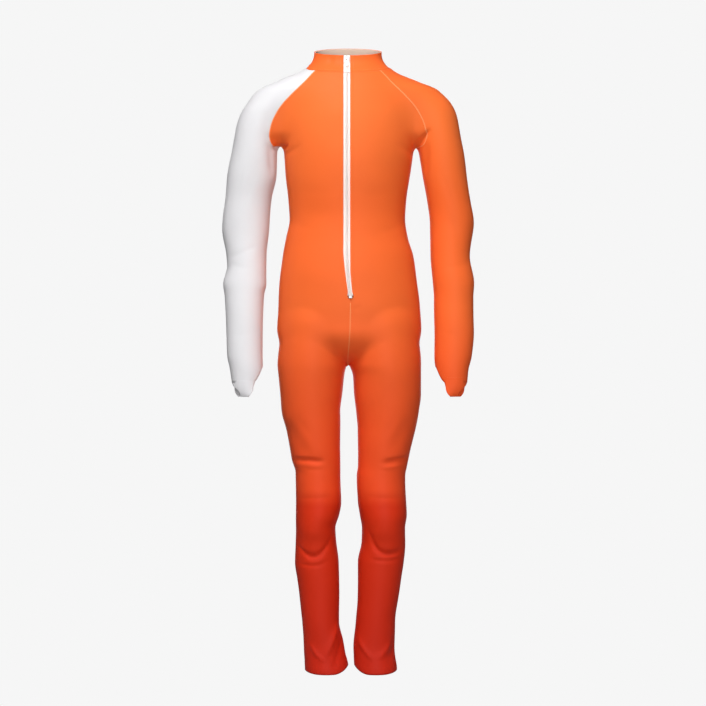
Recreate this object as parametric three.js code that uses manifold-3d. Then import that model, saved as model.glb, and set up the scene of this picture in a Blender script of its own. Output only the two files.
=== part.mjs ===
import * as THREE from 'three';
import { mergeVertices } from 'three/addons/utils/BufferGeometryUtils.js';
import Module from 'manifold-3d';

// Junior ski race suit, filled out and empty. Millimetres, +Z up, the front faces -Y and the
// wearer's right arm is at -X. The origin is at the base of the neck, between the shoulders.

// Cloth and sewing
const WALL = 1.5; // stretch laminate with its brushed inside
const HALF_SEAM = 0.15; // each panel stops this far from a seam line
const CLEARANCE = 0.3; // between pieces that lie on each other
const ROW_SAMPLES = 56; // points that a row is traced with before it is spaced evenly

// How many facets the panels have
const PANEL_COLUMNS = 7;
const SLEEVE_COLUMNS = 15;

// Neck and collar
const NECK_HEIGHT = 8;
const NECK_TILT = 0.31; // the neck opening drops forward
const COLLAR = {
  rise: 28, halfWidth: 64, front: 51, back: 50, flare: 2.4, columns: 30, shares: [0, 0.1, 0.25, 0.5, 1],
};
const LINING = { wall: 1, shares: [0.02, 0.1, 0.25, 0.5, 0.98], skip: 1 };

// Zip
const ZIP = {
  bottom: -434, halfOpen: 6.2, halfOpenLow: 3.9, tapeFrom: 0.2, tapeTo: 11.5, tapeDepth: WALL + 2 * CLEARANCE,
  tapeWall: 0.8, chainHalf: 2.4, chainWall: 1.5, stopHalf: 2.9, stopHeight: 5, stopWall: 2.2,
};
const SLIDER = { halfWidth: 4.3, halfInside: 3, height: 11.5, plate: 1.4, flange: 1.5 };
const LUG = { width: 2.2, halfLength: 2.9, halfGap: 1.5, gapFrom: 1.55, gapTo: 3.85, top: 5 };
const PULL = {
  halfTop: 3, halfTip: 2.5, length: 16, wall: 1.1, eyeWidth: 3.2, eyeEnd: 4.3,
  grip: 1.2, gripAt: 13.4, rest: 8,
};
const HINGE_LIFT = (LUG.gapFrom + LUG.gapTo) / 2; // the pull's bar turns in the middle of the lug

// Arms hang beside the body; the cuff's cut runs out to a tongue over the back of the hand
const WRIST = -540;
const CUFF = { palm: -560, tongue: -590, turn: 26, half: 56, ramp: 58 };
const ARMPIT = -152;

// Body blends
const SEAT = { start: -488, reach: 64 }; // how the trunk closes below the hips
const THIGH_TOP = { start: -486, reach: 60 };

// The trunk: half widths to the wearer's right and left, and depths before and behind the axis
const TRUNK = table(['z', 'right', 'left', 'front', 'back'], [
  [50, 66, 66, 55, 54],
  [26, 68, 68, 57, 56],
  [8, 75, 75, 60, 58],
  [2, 83, 82, 62, 61],
  [-9, 103, 101, 65, 67],
  [-15, 113, 112, 67, 71],
  [-24, 123, 123, 70, 76],
  [-40, 131, 131, 76, 82],
  [-62, 134, 134, 82, 87],
  [-100, 129, 129, 88, 90],
  [-157, 121, 123, 90, 87],
  [-205, 117, 116, 86, 80],
  [-248, 112, 110, 80, 74],
  [-280, 110, 108, 77, 71],
  [-316, 117, 113, 79, 75],
  [-351, 123, 123, 85, 85],
  [-396, 129, 130, 90, 98],
  [-440, 131, 135, 91, 104],
  [-490, 133, 138, 88, 104],
]);

// The legs: outer and inner edge from the suit's centre line, and depths
const RIGHT_LEG = table(['z', 'outer', 'inner', 'front', 'back'], [
  [-480, 125, 4, 80, 94],
  [-520, 130, 3, 81, 93],
  [-555, 133, 4, 80, 88],
  [-578, 131, 8, 77, 84],
  [-612, 128, 11, 71, 79],
  [-646, 125, 15, 65, 72],
  [-680, 116, 15, 60, 66],
  [-714, 110, 15, 56, 61],
  [-737, 106, 15, 53, 58],
  [-760, 99, 15, 51, 54],
  [-817, 98, 13, 53, 46],
  [-841, 98, 17, 55, 44],
  [-866, 98, 24, 52, 44],
  [-891, 99, 23, 46, 46],
  [-930, 100, 18, 43, 51],
  [-960, 96, 17, 41, 54],
  [-999, 91, 17, 39, 53],
  [-1044, 86, 17, 37, 47],
  [-1078, 84, 10, 36, 43],
  [-1101, 83, 6, 37, 41],
  [-1137, 81, -1, 41, 43],
]);
const LEFT_LEG = table(['z', 'outer', 'inner', 'front', 'back'], [
  [-480, 130, 4, 80, 94],
  [-520, 135, 3, 81, 93],
  [-555, 138, 4, 80, 88],
  [-578, 138, 10, 77, 84],
  [-612, 138, 12, 71, 79],
  [-646, 134, 16, 65, 72],
  [-680, 127, 19, 60, 66],
  [-714, 119, 19, 56, 61],
  [-749, 111, 19, 52, 56],
  [-766, 108, 17, 51, 53],
  [-817, 110, 19, 53, 46],
  [-841, 111, 23, 55, 44],
  [-866, 108, 27, 52, 44],
  [-891, 108, 26, 46, 46],
  [-930, 105, 19, 43, 51],
  [-965, 100, 19, 41, 54],
  [-1000, 95, 19, 39, 53],
  [-1044, 89, 15, 37, 47],
  [-1090, 88, 11, 36, 42],
  [-1137, 92, 13, 41, 43],
]);

// The arms: outer and inner edge from the centre line, how far the axis lies before the trunk's, depth
const RIGHT_ARM = table(['z', 'outer', 'inner', 'forward', 'depth'], [
  [-9, 92, 60, 0, 10],
  [-15, 114, 56, 0, 20],
  [-21, 133, 56, 0, 28],
  [-27, 151, 60, 0, 34],
  [-34, 167, 68, 0, 39],
  [-44, 178, 80, 0, 43],
  [-62, 191, 97, 0, 46],
  [-85, 205, 113, 0, 48],
  [-108, 212, 123, 0, 48],
  [-131, 216, 130, 0, 47],
  [-153, 220, 134, 0, 46],
  [-199, 229, 136, -2, 44],
  [-244, 233, 146, -4, 41],
  [-301, 239, 150, -5, 40],
  [-347, 231, 155, -1, 39],
  [-370, 229, 155, 2, 38],
  [-404, 236, 155, 7, 38],
  [-426, 233, 159, 10, 37],
  [-495, 229, 161, 19, 34],
  [-540, 227, 161, 25, 32],
  [-563, 222, 160, 28, 30],
  [-597, 216, 164, 31, 26],
  [-620, 210, 168, 32, 23],
]);
const LEFT_ARM = table(['z', 'outer', 'inner', 'forward', 'depth'], [
  [-9, 94, 60, 0, 10],
  [-15, 112, 56, 0, 20],
  [-21, 130, 56, 0, 28],
  [-27, 148, 60, 0, 34],
  [-34, 166, 68, 0, 39],
  [-44, 178, 80, 0, 43],
  [-62, 195, 97, 0, 46],
  [-85, 206, 113, 0, 48],
  [-108, 211, 123, 0, 48],
  [-131, 215, 130, 0, 47],
  [-153, 219, 134, 0, 46],
  [-203, 226, 143, -2, 44],
  [-248, 233, 151, -4, 41],
  [-288, 239, 156, -5, 40],
  [-351, 231, 157, -1, 39],
  [-402, 239, 161, 7, 38],
  [-430, 237, 163, 10, 37],
  [-487, 237, 163, 18, 35],
  [-540, 233, 163, 25, 32],
  [-567, 226, 165, 28, 30],
  [-601, 222, 169, 31, 26],
  [-620, 216, 173, 32, 23],
]);

// The raglan line and the shoulder's edge across the sleeve from it, neck to armpit, seen from the front
const RAGLAN = table(['step', 'seamX', 'seamZ', 'edgeX', 'edgeZ', 'tilt', 'centreZ'], [
  [0, 58, -7, 76, 8, 0.31, 8],
  [1, 72, -20, 100, -8, 0.28, -9],
  [2, 89, -38, 136, -22, 0.24, -26],
  [3, 108, -56, 166, -36, 0.18, -46],
  [4, 124, -73, 186, -56, 0.12, -66],
  [5, 136, -91, 198, -76, 0.07, -86],
  [6, 144, -110, 207, -96, 0.03, -106],
  [7, 147, -130, 214, -120, 0.01, -126],
  [8, 141, -144, 218, -139, 0, -142],
  [9, 127, -153, 220, -153, 0, -153],
]);
const BACK_RAGLAN_LIFT = 14; // the back seam meets the neck higher than the front one
const RAGLAN_STEPS = 9;

// The centre line at the front: it wanders a little where the belly cloth pulls
const CENTRE = table(['z', 'x'], [
  [40, -2],
  [-340, -2],
  [-400, 1],
  [-434, 5],
  [-500, 4],
  [-552, 0],
]);

// Heights of the rows below the armpit
const TRUNK_ROWS = [-175, -203, -232, -262, -290, -320, -352, -388, -422, -433.5, -436, -462, -488];
const CROTCH_DROPS = [34, 20, 10, 4, 1.2];
const LEG_ROWS = [-566, -590, -622, -655, -688, -716, -734, -745, -757, -776, -800, -825, -848, -866,
  -878, -889, -902, -925, -960, -1000, -1044, -1080, -1110, -1137];
const ARM_ROWS = [-166, -186, -212, -244, -275, -302, -326, -350, -372, -390, -404, -420, -450, -495, WRIST];
const CUFF_SHARES = [0.35, 0.7, 1];

// The loop for the middle finger: the tongue's tip turned back and sewn behind itself. How far each row
// lies below the tongue's edge and behind its face, its reach to each side, and how much it is bowed
const LOOP = table(['row', 'drop', 'inset', 'outer', 'inner', 'bow'], [
  [0, 0.3, 0, 21, 21, 1],
  [1, 8, 0.3, 18, 19, 0.85],
  [2, 15, 1.2, 13.5, 15.5, 0.6],
  [3, 21.5, 3, 10, 11, 0.35],
  [4, 26, 6, 8.5, 8.5, 0.2],
  [5, 26, 9, 9, 8.5, 0.2],
  [6, 20, 13, 12, 10, 0.25],
  [7, 12, 14, 15.5, 12, 0.4],
  [8, 3, 10, 17, 13, 0.7],
  [9, -5, 3.7, 17, 14, 0.9],
]);
const LOOP_ROWS = 10;
const LOOP_COLUMNS = 6;
const HEM = { inner: 12, outer: 3, back: 3 }; // how far the hem rises from its lowest point in front

// Largest folds: where each lies on its limb, seen from the front, its half length, half width and depth
const FOLDS = table(['x', 'z', 'angle', 'length', 'width', 'depth', 'side'], [
  [-64, -736, 4, 34, 7, 4.5, -1],
  [72, -737, -4, 34, 7, 4.5, -1],
  [-92, -700, -55, 38, 9, 3, -1],
  [96, -690, 60, 38, 9, 3, -1],
  [-62, -880, 0, 26, 6, 4, -1],
  [70, -881, 0, 28, 6, 4, -1],
  [-58, -846, 0, 32, 24, -4, -1],
  [68, -846, 0, 32, 24, -4, -1],
  [-58, -822, 3, 32, 7, 4, 1],
  [66, -826, -3, 32, 7, 4, 1],
  [-60, -560, -14, 46, 10, 4, 1],
  [64, -560, 14, 46, 10, 4, 1],
]);

// Colours of the cloth and trim
const ORANGE = { color: 0xf26a33, roughness: 0.55, metalness: 0 };
const WHITE = { color: 0xe9e7ea, roughness: 0.6, metalness: 0 };
const ZIP_WHITE = { color: 0xf0e6e0, roughness: 0.5, metalness: 0 };
const METAL = { color: 0xdedbd6, roughness: 0.35, metalness: 0.6 };

// Turns rows of numbers into a table that is looked up by its first column
function table(columns, rows) {
  return { columns, rows: rows[0][0] > rows[rows.length - 1][0] ? [...rows].reverse() : rows };
}

// Slope of one column at row i, kept flat at turning points so that the curve does not overshoot
function slopeAt(rows, i, c) {
  if (i === 0 || i === rows.length - 1) return 0;
  const before = (rows[i][c] - rows[i - 1][c]) / (rows[i][0] - rows[i - 1][0]);
  const after = (rows[i + 1][c] - rows[i][c]) / (rows[i + 1][0] - rows[i][0]);
  return before * after <= 0 ? 0 : (2 * before * after) / (before + after);
}

// Smooth lookup of every column at a height or step
function lookUp({ columns, rows }, at) {
  const last = rows.length - 1;
  const key = Math.min(Math.max(at, rows[0][0]), rows[last][0]);
  let i = 0;
  while (i < last - 1 && rows[i + 1][0] < key) i += 1;
  const span = rows[i + 1][0] - rows[i][0];
  const t = (key - rows[i][0]) / span;
  const result = {};
  columns.forEach((name, c) => {
    const from = rows[i][c];
    const to = rows[i + 1][c];
    const curve = (2 * t ** 3 - 3 * t ** 2 + 1) * from + (3 * t ** 2 - 2 * t ** 3) * to;
    const leaving = (t ** 3 - 2 * t ** 2 + t) * slopeAt(rows, i, c);
    const bend = leaving + (t ** 3 - t ** 2) * slopeAt(rows, i + 1, c);
    result[name] = c === 0 ? key : curve + span * bend;
  });
  return result;
}

const mix = (a, b, t) => a + (b - a) * t;
const clamp01 = (t) => Math.min(Math.max(t, 0), 1);
const smooth = (t) => clamp01(t) ** 2 * (3 - 2 * clamp01(t));
const radians = (degrees) => (degrees * Math.PI) / 180;
const vector = (x, y, z) => new THREE.Vector3(x, y, z);

// Distance-like value of an oval section whose front and back depths differ
function ovalValue(x, y, halfWidth, depth) {
  const near = Math.hypot(x / halfWidth, y / depth);
  const scale = Math.hypot(x / halfWidth ** 2, y / depth ** 2);
  return scale < 1e-9 ? -Math.min(halfWidth, depth) : (near * (near - 1)) / scale;
}

// Union of two values with a fillet
function blend(a, b, reach) {
  const overlap = Math.max(reach - Math.abs(a - b), 0) / reach;
  return Math.min(a, b) - (overlap * overlap * reach) / 4;
}

// How much of a section is left past a rounded end
function closing(distance, reach) {
  return distance <= 0 ? 1 : Math.sqrt(Math.max(1 - (distance / reach) ** 2, 0));
}

function trunkValue(x, y, z) {
  const s = lookUp(TRUNK, z);
  const left = closing(SEAT.start - z, SEAT.reach);
  if (left < 0.02) return Math.hypot(x, y) + SEAT.start - SEAT.reach - z;
  const middle = (s.left - s.right) / 2;
  return ovalValue(x - middle, y, ((s.right + s.left) / 2) * left, (y < 0 ? s.front : s.back) * left);
}

function legValue(x, y, z, side) {
  const s = lookUp(side < 0 ? RIGHT_LEG : LEFT_LEG, z);
  const left = closing(z - THIGH_TOP.start, THIGH_TOP.reach);
  const middle = (side * (s.outer + s.inner)) / 2;
  if (left < 0.02) return Math.hypot(x - middle, y) + z - THIGH_TOP.start;
  return ovalValue(x - middle, y, ((s.outer - s.inner) / 2) * left, (y < 0 ? s.front : s.back) * left);
}

function armValue(x, y, z, side) {
  const s = lookUp(side < 0 ? RIGHT_ARM : LEFT_ARM, z);
  const middle = (side * (s.outer + s.inner)) / 2;
  const above = Math.max(z + 9, 0);
  return ovalValue(x - middle, y + s.forward, (s.outer - s.inner) / 2, s.depth) + above;
}

// The outside of the filled-out suit is where this value is zero
function bodyValue(x, y, z) {
  let value = trunkValue(x, y, z);
  const side = x < 0 ? -1 : 1;
  if (z < -400) {
    value = blend(value, blend(legValue(x, y, z, side), legValue(x, y, z, -side), 14), 14);
  }
  const reach = mix(13, 46, smooth((z - ARMPIT + 2) / 36)) * mix(1, 0.2, smooth((z + 45) / 45));
  return blend(value, armValue(x, y, z, side), reach);
}

function outwardAt(p) {
  const e = 0.6;
  return vector(
    bodyValue(p.x + e, p.y, p.z) - bodyValue(p.x - e, p.y, p.z),
    bodyValue(p.x, p.y + e, p.z) - bodyValue(p.x, p.y - e, p.z),
    bodyValue(p.x, p.y, p.z + e) - bodyValue(p.x, p.y, p.z - e),
  ).normalize();
}

// First place where a ray from inside leaves the suit, or crosses the plane that ends its own half
function cast(origin, direction, side = 0, planeX = 0) {
  const value = (r) => {
    const p = origin.clone().addScaledVector(direction, r);
    return side * (p.x - planeX) < 0 ? HALF_SEAM : bodyValue(p.x, p.y, p.z);
  };
  let far = 3;
  while (far < 260 && value(far) < 0) far += 3;
  let near = far - 3;
  for (let i = 0; i < 26; i += 1) {
    const middle = (near + far) / 2;
    if (value(middle) < 0) near = middle;
    else far = middle;
  }
  return origin.clone().addScaledVector(direction, far);
}

// Depth of the named folds at a point of the surface
function foldDepth(p) {
  let depth = 0;
  for (const row of FOLDS.rows) {
    const [x, z, angle, length, width, deep, side] = row;
    const along = (p.x - x) * Math.cos(radians(angle)) + (p.z - z) * Math.sin(radians(angle));
    const across = (p.z - z) * Math.cos(radians(angle)) - (p.x - x) * Math.sin(radians(angle));
    const facing = smooth((side * p.y) / 18);
    const reach = smooth(1.35 - Math.abs(along) / length);
    depth += deep * facing * reach * Math.exp(-((across / width) ** 2));
  }
  return depth;
}

// Spaces a traced row evenly, leaving out a short stretch at each end
function spacedRow(points, columns, trimStart, trimEnd) {
  const reach = [0];
  for (let i = 1; i < points.length; i += 1) reach.push(reach[i - 1] + points[i].distanceTo(points[i - 1]));
  const total = reach[reach.length - 1];
  const row = [];
  for (let c = 0; c <= columns; c += 1) {
    const at = mix(trimStart, total - trimEnd, c / columns);
    let i = 1;
    while (i < points.length - 1 && reach[i] < at) i += 1;
    row.push(points[i - 1].clone().lerp(points[i], (at - reach[i - 1]) / (reach[i] - reach[i - 1])));
  }
  return row;
}

// Points from one seam to the next along a row
function traced(pointAt) {
  const points = [];
  for (let i = 0; i <= ROW_SAMPLES; i += 1) points.push(pointAt(i / ROW_SAMPLES));
  return points;
}

// A closed wall between an outer and an inner grid of points
function wallGeometry(outer, inner) {
  const rows = outer.length;
  const columns = outer[0].length;
  const positions = [];
  const indices = [];
  for (const row of [...outer, ...inner]) for (const p of row) positions.push(p.x, p.y, p.z);
  const at = (layer, r, c) => (layer * rows + r) * columns + c;
  const quad = (a, b, c, d) => indices.push(a, b, c, a, c, d);
  for (let r = 0; r < rows - 1; r += 1) {
    for (let c = 0; c < columns - 1; c += 1) {
      quad(at(0, r, c), at(0, r + 1, c), at(0, r + 1, c + 1), at(0, r, c + 1));
      quad(at(1, r, c), at(1, r, c + 1), at(1, r + 1, c + 1), at(1, r + 1, c));
    }
    quad(at(0, r, 0), at(1, r, 0), at(1, r + 1, 0), at(0, r + 1, 0));
    quad(at(0, r, columns - 1), at(0, r + 1, columns - 1), at(1, r + 1, columns - 1), at(1, r, columns - 1));
  }
  for (let c = 0; c < columns - 1; c += 1) {
    quad(at(0, 0, c), at(0, 0, c + 1), at(1, 0, c + 1), at(1, 0, c));
    quad(at(0, rows - 1, c), at(1, rows - 1, c), at(1, rows - 1, c + 1), at(0, rows - 1, c + 1));
  }
  const geometry = new THREE.BufferGeometry();
  geometry.setAttribute('position', new THREE.Float32BufferAttribute(positions, 3));
  geometry.setIndex(volumeOf(positions, indices) < 0 ? flipped(indices) : indices);
  geometry.computeVertexNormals();
  return geometry;
}

function volumeOf(positions, indices) {
  const corner = (i) => vector(positions[3 * i], positions[3 * i + 1], positions[3 * i + 2]);
  let volume = 0;
  for (let i = 0; i < indices.length; i += 3) {
    volume += corner(indices[i]).dot(corner(indices[i + 1]).cross(corner(indices[i + 2])));
  }
  return volume;
}

function flipped(indices) {
  const result = [];
  for (let i = 0; i < indices.length; i += 3) result.push(indices[i], indices[i + 2], indices[i + 1]);
  return result;
}

const group = new THREE.Group();

function add(name, geometry, finish) {
  const mesh = new THREE.Mesh(geometry, new THREE.MeshStandardMaterial(finish));
  mesh.name = name;
  group.add(mesh);
  return mesh;
}

// Cloth of a rowed grid on the suit's surface: folds pressed in, wall inward
function clothGeometry(grid, lift = 0, wall = WALL) {
  const outer = [];
  const inner = [];
  for (const row of grid) {
    const normals = row.map(outwardAt);
    const out = row.map((p, i) => p.clone().addScaledVector(normals[i], lift - foldDepth(p)));
    outer.push(out);
    inner.push(out.map((p, i) => p.clone().addScaledVector(normals[i], -wall)));
  }
  return wallGeometry(outer, inner);
}

// Where a sleeve's ring meets the raglan seam, before or behind, and the fan that its rays make
function raglanFan(step, side, facing) {
  const s = lookUp(RAGLAN, step);
  const lift = facing > 0 ? BACK_RAGLAN_LIFT * (1 - smooth(step / 4)) : 0;
  const edge = vector(side * s.edgeX, 0, s.edgeZ);
  const seam = vector(side * s.seamX, 0, s.seamZ + lift);
  const centre = edge.clone().lerp(vector(side * s.seamX, 0, s.seamZ), 0.5);
  return {
    centre,
    outward: edge.clone().sub(centre).normalize(),
    inward: seam.clone().sub(centre).normalize(),
    reach: seam.distanceTo(centre),
    depthWise: vector(0, facing, 0),
  };
}

function fanPoint(fan, angle) {
  const across = Math.cos(angle);
  const direction = (across > 0 ? fan.outward : fan.inward).clone().multiplyScalar(Math.abs(across));
  return cast(fan.centre, direction.addScaledVector(fan.depthWise, Math.sin(angle)).normalize());
}

// Angle at which the fan's point lies on the raglan line
function seamAngle(fan) {
  let low = Math.PI / 2;
  let high = Math.PI - 0.0005;
  for (let i = 0; i < 24; i += 1) {
    const middle = (low + high) / 2;
    const p = fanPoint(fan, middle);
    const reached = p.clone().sub(fan.centre).dot(fan.inward);
    if (reached < fan.reach) low = middle;
    else high = middle;
  }
  return low;
}

// Point of the neck seam in a direction round the neck
function neckPoint(angle, height = NECK_HEIGHT) {
  return cast(vector(0, 0, height), vector(Math.cos(angle), Math.sin(angle), NECK_TILT * Math.sin(angle)));
}

const neckSeamAngle = (side, facing) => {
  const s = RAGLAN.rows[0];
  const across = Math.acos((s[1] * (facing > 0 ? 0.92 : 1)) / 76);
  return side > 0 ? facing * across : facing * (Math.PI - across);
};

// Raglan seam points of one side, neck to armpit
function raglanPoints(side, facing) {
  const points = [neckPoint(neckSeamAngle(side, facing))];
  for (let step = 1; step < RAGLAN_STEPS; step += 1) {
    const fan = raglanFan(step, side, facing);
    points.push(fanPoint(fan, seamAngle(fan)));
  }
  points.push(armpitPoint(side));
  return points;
}

// The armpit lies where arm and trunk part
function armpitPoint(side) {
  const arm = lookUp(side < 0 ? RIGHT_ARM : LEFT_ARM, ARMPIT);
  const trunk = lookUp(TRUNK, ARMPIT);
  const x = (side * (arm.inner + (side < 0 ? trunk.right : trunk.left))) / 2;
  let low = ARMPIT - 30;
  let high = ARMPIT + 40;
  for (let i = 0; i < 30; i += 1) {
    const middle = (low + high) / 2;
    if (bodyValue(x, 0, middle) < 0) high = middle;
    else low = middle;
  }
  return vector(x, 0, high);
}

function crotchHeight() {
  let low = -600;
  let high = -500;
  for (let i = 0; i < 30; i += 1) {
    const middle = (low + high) / 2;
    if (bodyValue(0, 0, middle) < 0) high = middle;
    else low = middle;
  }
  return high;
}

// Half of the gap that the front panels leave at the centre line
function halfOpening(z) {
  if (z < ZIP.bottom) return HALF_SEAM;
  return mix(ZIP.halfOpenLow, ZIP.halfOpen, smooth((z + 410) / 60));
}

// Surface point at a given distance from the centre line, before or behind the axis
function pointAcross(x, height, tilt, facing) {
  let y = 0;
  while (Math.abs(y) < 200 && bodyValue(x, y, height + tilt * y) < 0) y += facing * 3;
  let near = y - facing * 3;
  for (let i = 0; i < 26; i += 1) {
    const middle = (near + y) / 2;
    if (bodyValue(x, middle, height + tilt * middle) < 0) near = middle;
    else y = middle;
  }
  return vector(x, y, height + tilt * y);
}

// Rows of a body panel from the centre line or inseam to the raglan or side seam, neck to hem
function panelRows(side, facing) {
  const raglan = raglanPoints(side, facing);
  const crotch = crotchHeight();
  const rows = [];
  const centreX = (z) => (facing < 0 ? lookUp(CENTRE, z).x + side * halfOpening(z) : side * HALF_SEAM);
  raglan.forEach((end, step) => {
    const s = lookUp(RAGLAN, step);
    const start = pointAcross(centreX(s.centreZ), s.centreZ, s.tilt, facing);
    const from = Math.atan2(start.y, side * start.x);
    const to = Math.atan2(end.y, side * end.x);
    const endHeight = end.z - s.tilt * end.y;
    const points = traced((u) => {
      const angle = mix(from, to, u);
      const direction = vector(side * Math.cos(angle), Math.sin(angle), s.tilt * Math.sin(angle));
      return cast(vector(0, 0, mix(s.centreZ, endHeight, u)), direction);
    });
    points[0] = start;
    points[points.length - 1] = end;
    rows.push(spacedRow(points, PANEL_COLUMNS, 0, HALF_SEAM));
  });
  const heights = [...TRUNK_ROWS, ...CROTCH_DROPS.map((drop) => crotch + drop), crotch - 1, ...LEG_ROWS];
  for (const z of heights) {
    const leg = lookUp(side < 0 ? RIGHT_LEG : LEFT_LEG, z);
    const axis = side * mix(0, (leg.outer + leg.inner) / 2, smooth((-360 - z) / 170));
    const open = z > crotch;
    const plane = open ? centreX(z) : side * HALF_SEAM;
    const start = open ? pointAcross(plane, z, 0, facing) : null;
    const from = open ? Math.atan2(start.y, side * (start.x - axis)) : facing * Math.PI;
    const hem = smooth((-1080 - z) / 57);
    const points = traced((u) => {
      const angle = mix(from, 0, u);
      const rise = HEM.inner * (1 - smooth(u / 0.4)) + HEM.outer * smooth((u - 0.6) / 0.4);
      const height = z + hem * (rise + (facing > 0 ? HEM.back : 0));
      const direction = vector(side * Math.cos(angle), Math.sin(angle), 0);
      return cast(vector(axis, 0, height), direction, z < ZIP.bottom ? side : 0, plane);
    });
    rows.push(spacedRow(points, PANEL_COLUMNS, open ? 0 : HALF_SEAM, HALF_SEAM));
  }
  return rows;
}

// Height of the cuff's edge in a direction round the wrist, counted from the middle of the tongue
function cuffEdge(turn) {
  const away = Math.abs(turn);
  return mix(CUFF.tongue, CUFF.palm, smooth((away - CUFF.half) / CUFF.ramp));
}

// Rows of a sleeve, each from the seam in front over the arm to the seam behind, neck to cuff
function sleeveRows(side) {
  const rows = [];
  const neckFrom = neckSeamAngle(side, -1);
  const neckTo = neckSeamAngle(side, 1) - (side < 0 ? 2 * Math.PI : 0);
  const neck = traced((u) => neckPoint(mix(neckFrom, neckTo, u)));
  rows.push(spacedRow(neck, SLEEVE_COLUMNS, HALF_SEAM, HALF_SEAM));
  for (let step = 1; step < RAGLAN_STEPS; step += 1) {
    const fans = { front: raglanFan(step, side, -1), back: raglanFan(step, side, 1) };
    const front = seamAngle(fans.front);
    const back = seamAngle(fans.back);
    const points = traced((u) => {
      const angle = mix(front, -back, u);
      return angle > 0 ? fanPoint(fans.front, angle) : fanPoint(fans.back, -angle);
    });
    rows.push(spacedRow(points, SLEEVE_COLUMNS, HALF_SEAM, HALF_SEAM));
  }
  const armpit = armpitPoint(side);
  const ringPoints = (heightAt) => traced((u) => {
    const angle = 2 * Math.PI * u;
    const z = heightAt(u);
    const s = lookUp(side < 0 ? RIGHT_ARM : LEFT_ARM, z);
    const centre = vector((side * (s.outer + s.inner)) / 2, -s.forward, z);
    return cast(centre, vector(-side * Math.cos(angle), -Math.sin(angle), 0));
  });
  const first = ringPoints((u) => mix(armpit.z, ARMPIT - 3, Math.sin(Math.PI * u)));
  first[0] = armpit.clone();
  first[first.length - 1] = armpit.clone();
  rows.push(spacedRow(first, SLEEVE_COLUMNS, HALF_SEAM, HALF_SEAM));
  for (const z of ARM_ROWS) rows.push(spacedRow(ringPoints(() => z), SLEEVE_COLUMNS, HALF_SEAM, HALF_SEAM));
  for (const share of CUFF_SHARES) {
    const points = ringPoints((u) => mix(WRIST, cuffEdge(360 * u - 90 - CUFF.turn), share));
    rows.push(spacedRow(points, SLEEVE_COLUMNS, HALF_SEAM, HALF_SEAM));
  }
  return rows;
}

// Reach of the collar from the neck's axis in a direction, at a share of its height
function collarReach(angle, share) {
  const base = neckPoint(angle, NECK_HEIGHT + CLEARANCE);
  const from = Math.hypot(base.x, base.y);
  const deep = Math.sin(angle) < 0 ? COLLAR.front : COLLAR.back;
  const to = 1 / Math.hypot(Math.cos(angle) / COLLAR.halfWidth, Math.sin(angle) / deep);
  return to + (from - to) * (1 - share) ** COLLAR.flare;
}

function collarPoint(angle, share) {
  const reach = collarReach(angle, share);
  const height = NECK_HEIGHT + CLEARANCE + COLLAR.rise * share;
  const forward = reach * Math.sin(angle);
  return vector(reach * Math.cos(angle), forward, height + NECK_TILT * forward);
}

function collarOutward(angle, share) {
  const e = 0.01;
  const round = collarPoint(angle + e, share).sub(collarPoint(angle - e, share));
  const up = collarPoint(angle, Math.min(share + e, 1)).sub(collarPoint(angle, Math.max(share - e, 0)));
  const seam = outwardAt(neckPoint(angle, NECK_HEIGHT + CLEARANCE));
  return seam.lerp(round.cross(up).normalize(), smooth(share / 0.15)).normalize();
}

// Direction round the neck in which the collar's front lies at a distance from the centre plane
function collarAngle(x, share) {
  let angle = -Math.PI / 2;
  for (let i = 0; i < 6; i += 1) angle = -Math.PI / 2 + Math.asin(x / collarReach(angle, share));
  return angle;
}

// A band that stands on the neck seam and runs round the back, from one side of the zip to the other
function collarGeometry(shares, skip, depth, wall) {
  const middle = lookUp(CENTRE, NECK_HEIGHT).x;
  const outer = [];
  const inner = [];
  for (const share of [...shares].reverse()) {
    const from = collarAngle(middle - ZIP.halfOpen, share) + 2 * Math.PI;
    const to = collarAngle(middle + ZIP.halfOpen, share);
    const out = [];
    const back = [];
    for (let c = skip; c <= COLLAR.columns - skip; c += 1) {
      const angle = mix(from, to, c / COLLAR.columns);
      const p = collarPoint(angle, share);
      const n = collarOutward(angle, share);
      out.push(p.clone().addScaledVector(n, -depth));
      back.push(p.clone().addScaledVector(n, -depth - wall));
    }
    outer.push(out);
    inner.push(back);
  }
  return wallGeometry(outer, inner);
}

// Places along the zip, collar to belly, each giving the cloth's face and its normal beside the centre line
function zipStations() {
  const stations = [1, 0.5, 0.25, 0.1, 0.02].map((share) => (offset) => {
    const angle = collarAngle(lookUp(CENTRE, NECK_HEIGHT).x + offset, share);
    return [collarPoint(angle, share), collarOutward(angle, share)];
  });
  const onBody = (height, tilt) => stations.push((offset) => {
    const p = pointAcross(lookUp(CENTRE, height).x + offset, height, tilt, -1);
    return [p, outwardAt(p)];
  });
  for (let step = 0; step <= RAGLAN_STEPS; step += 1) {
    const s = lookUp(RAGLAN, step);
    onBody(s.centreZ - (step === 0 ? 1 : 0), s.tilt);
  }
  for (const z of TRUNK_ROWS) if (z > ZIP.bottom + 2 * ZIP.stopHeight) onBody(z, 0);
  onBody(ZIP.bottom + ZIP.stopHeight + CLEARANCE, 0);
  return stations;
}

// A strip along given places of the zip, its face a depth behind the cloth's face
function stripGeometry(stations, offsets, depth, wall) {
  const outer = [];
  const inner = [];
  for (const station of stations) {
    const pairs = offsets.map((offset) => station(offset));
    outer.push(pairs.map(([p, n]) => p.clone().addScaledVector(n, -depth)));
    inner.push(pairs.map(([p, n]) => p.clone().addScaledVector(n, -depth - wall)));
  }
  return wallGeometry(outer, inner);
}

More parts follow.
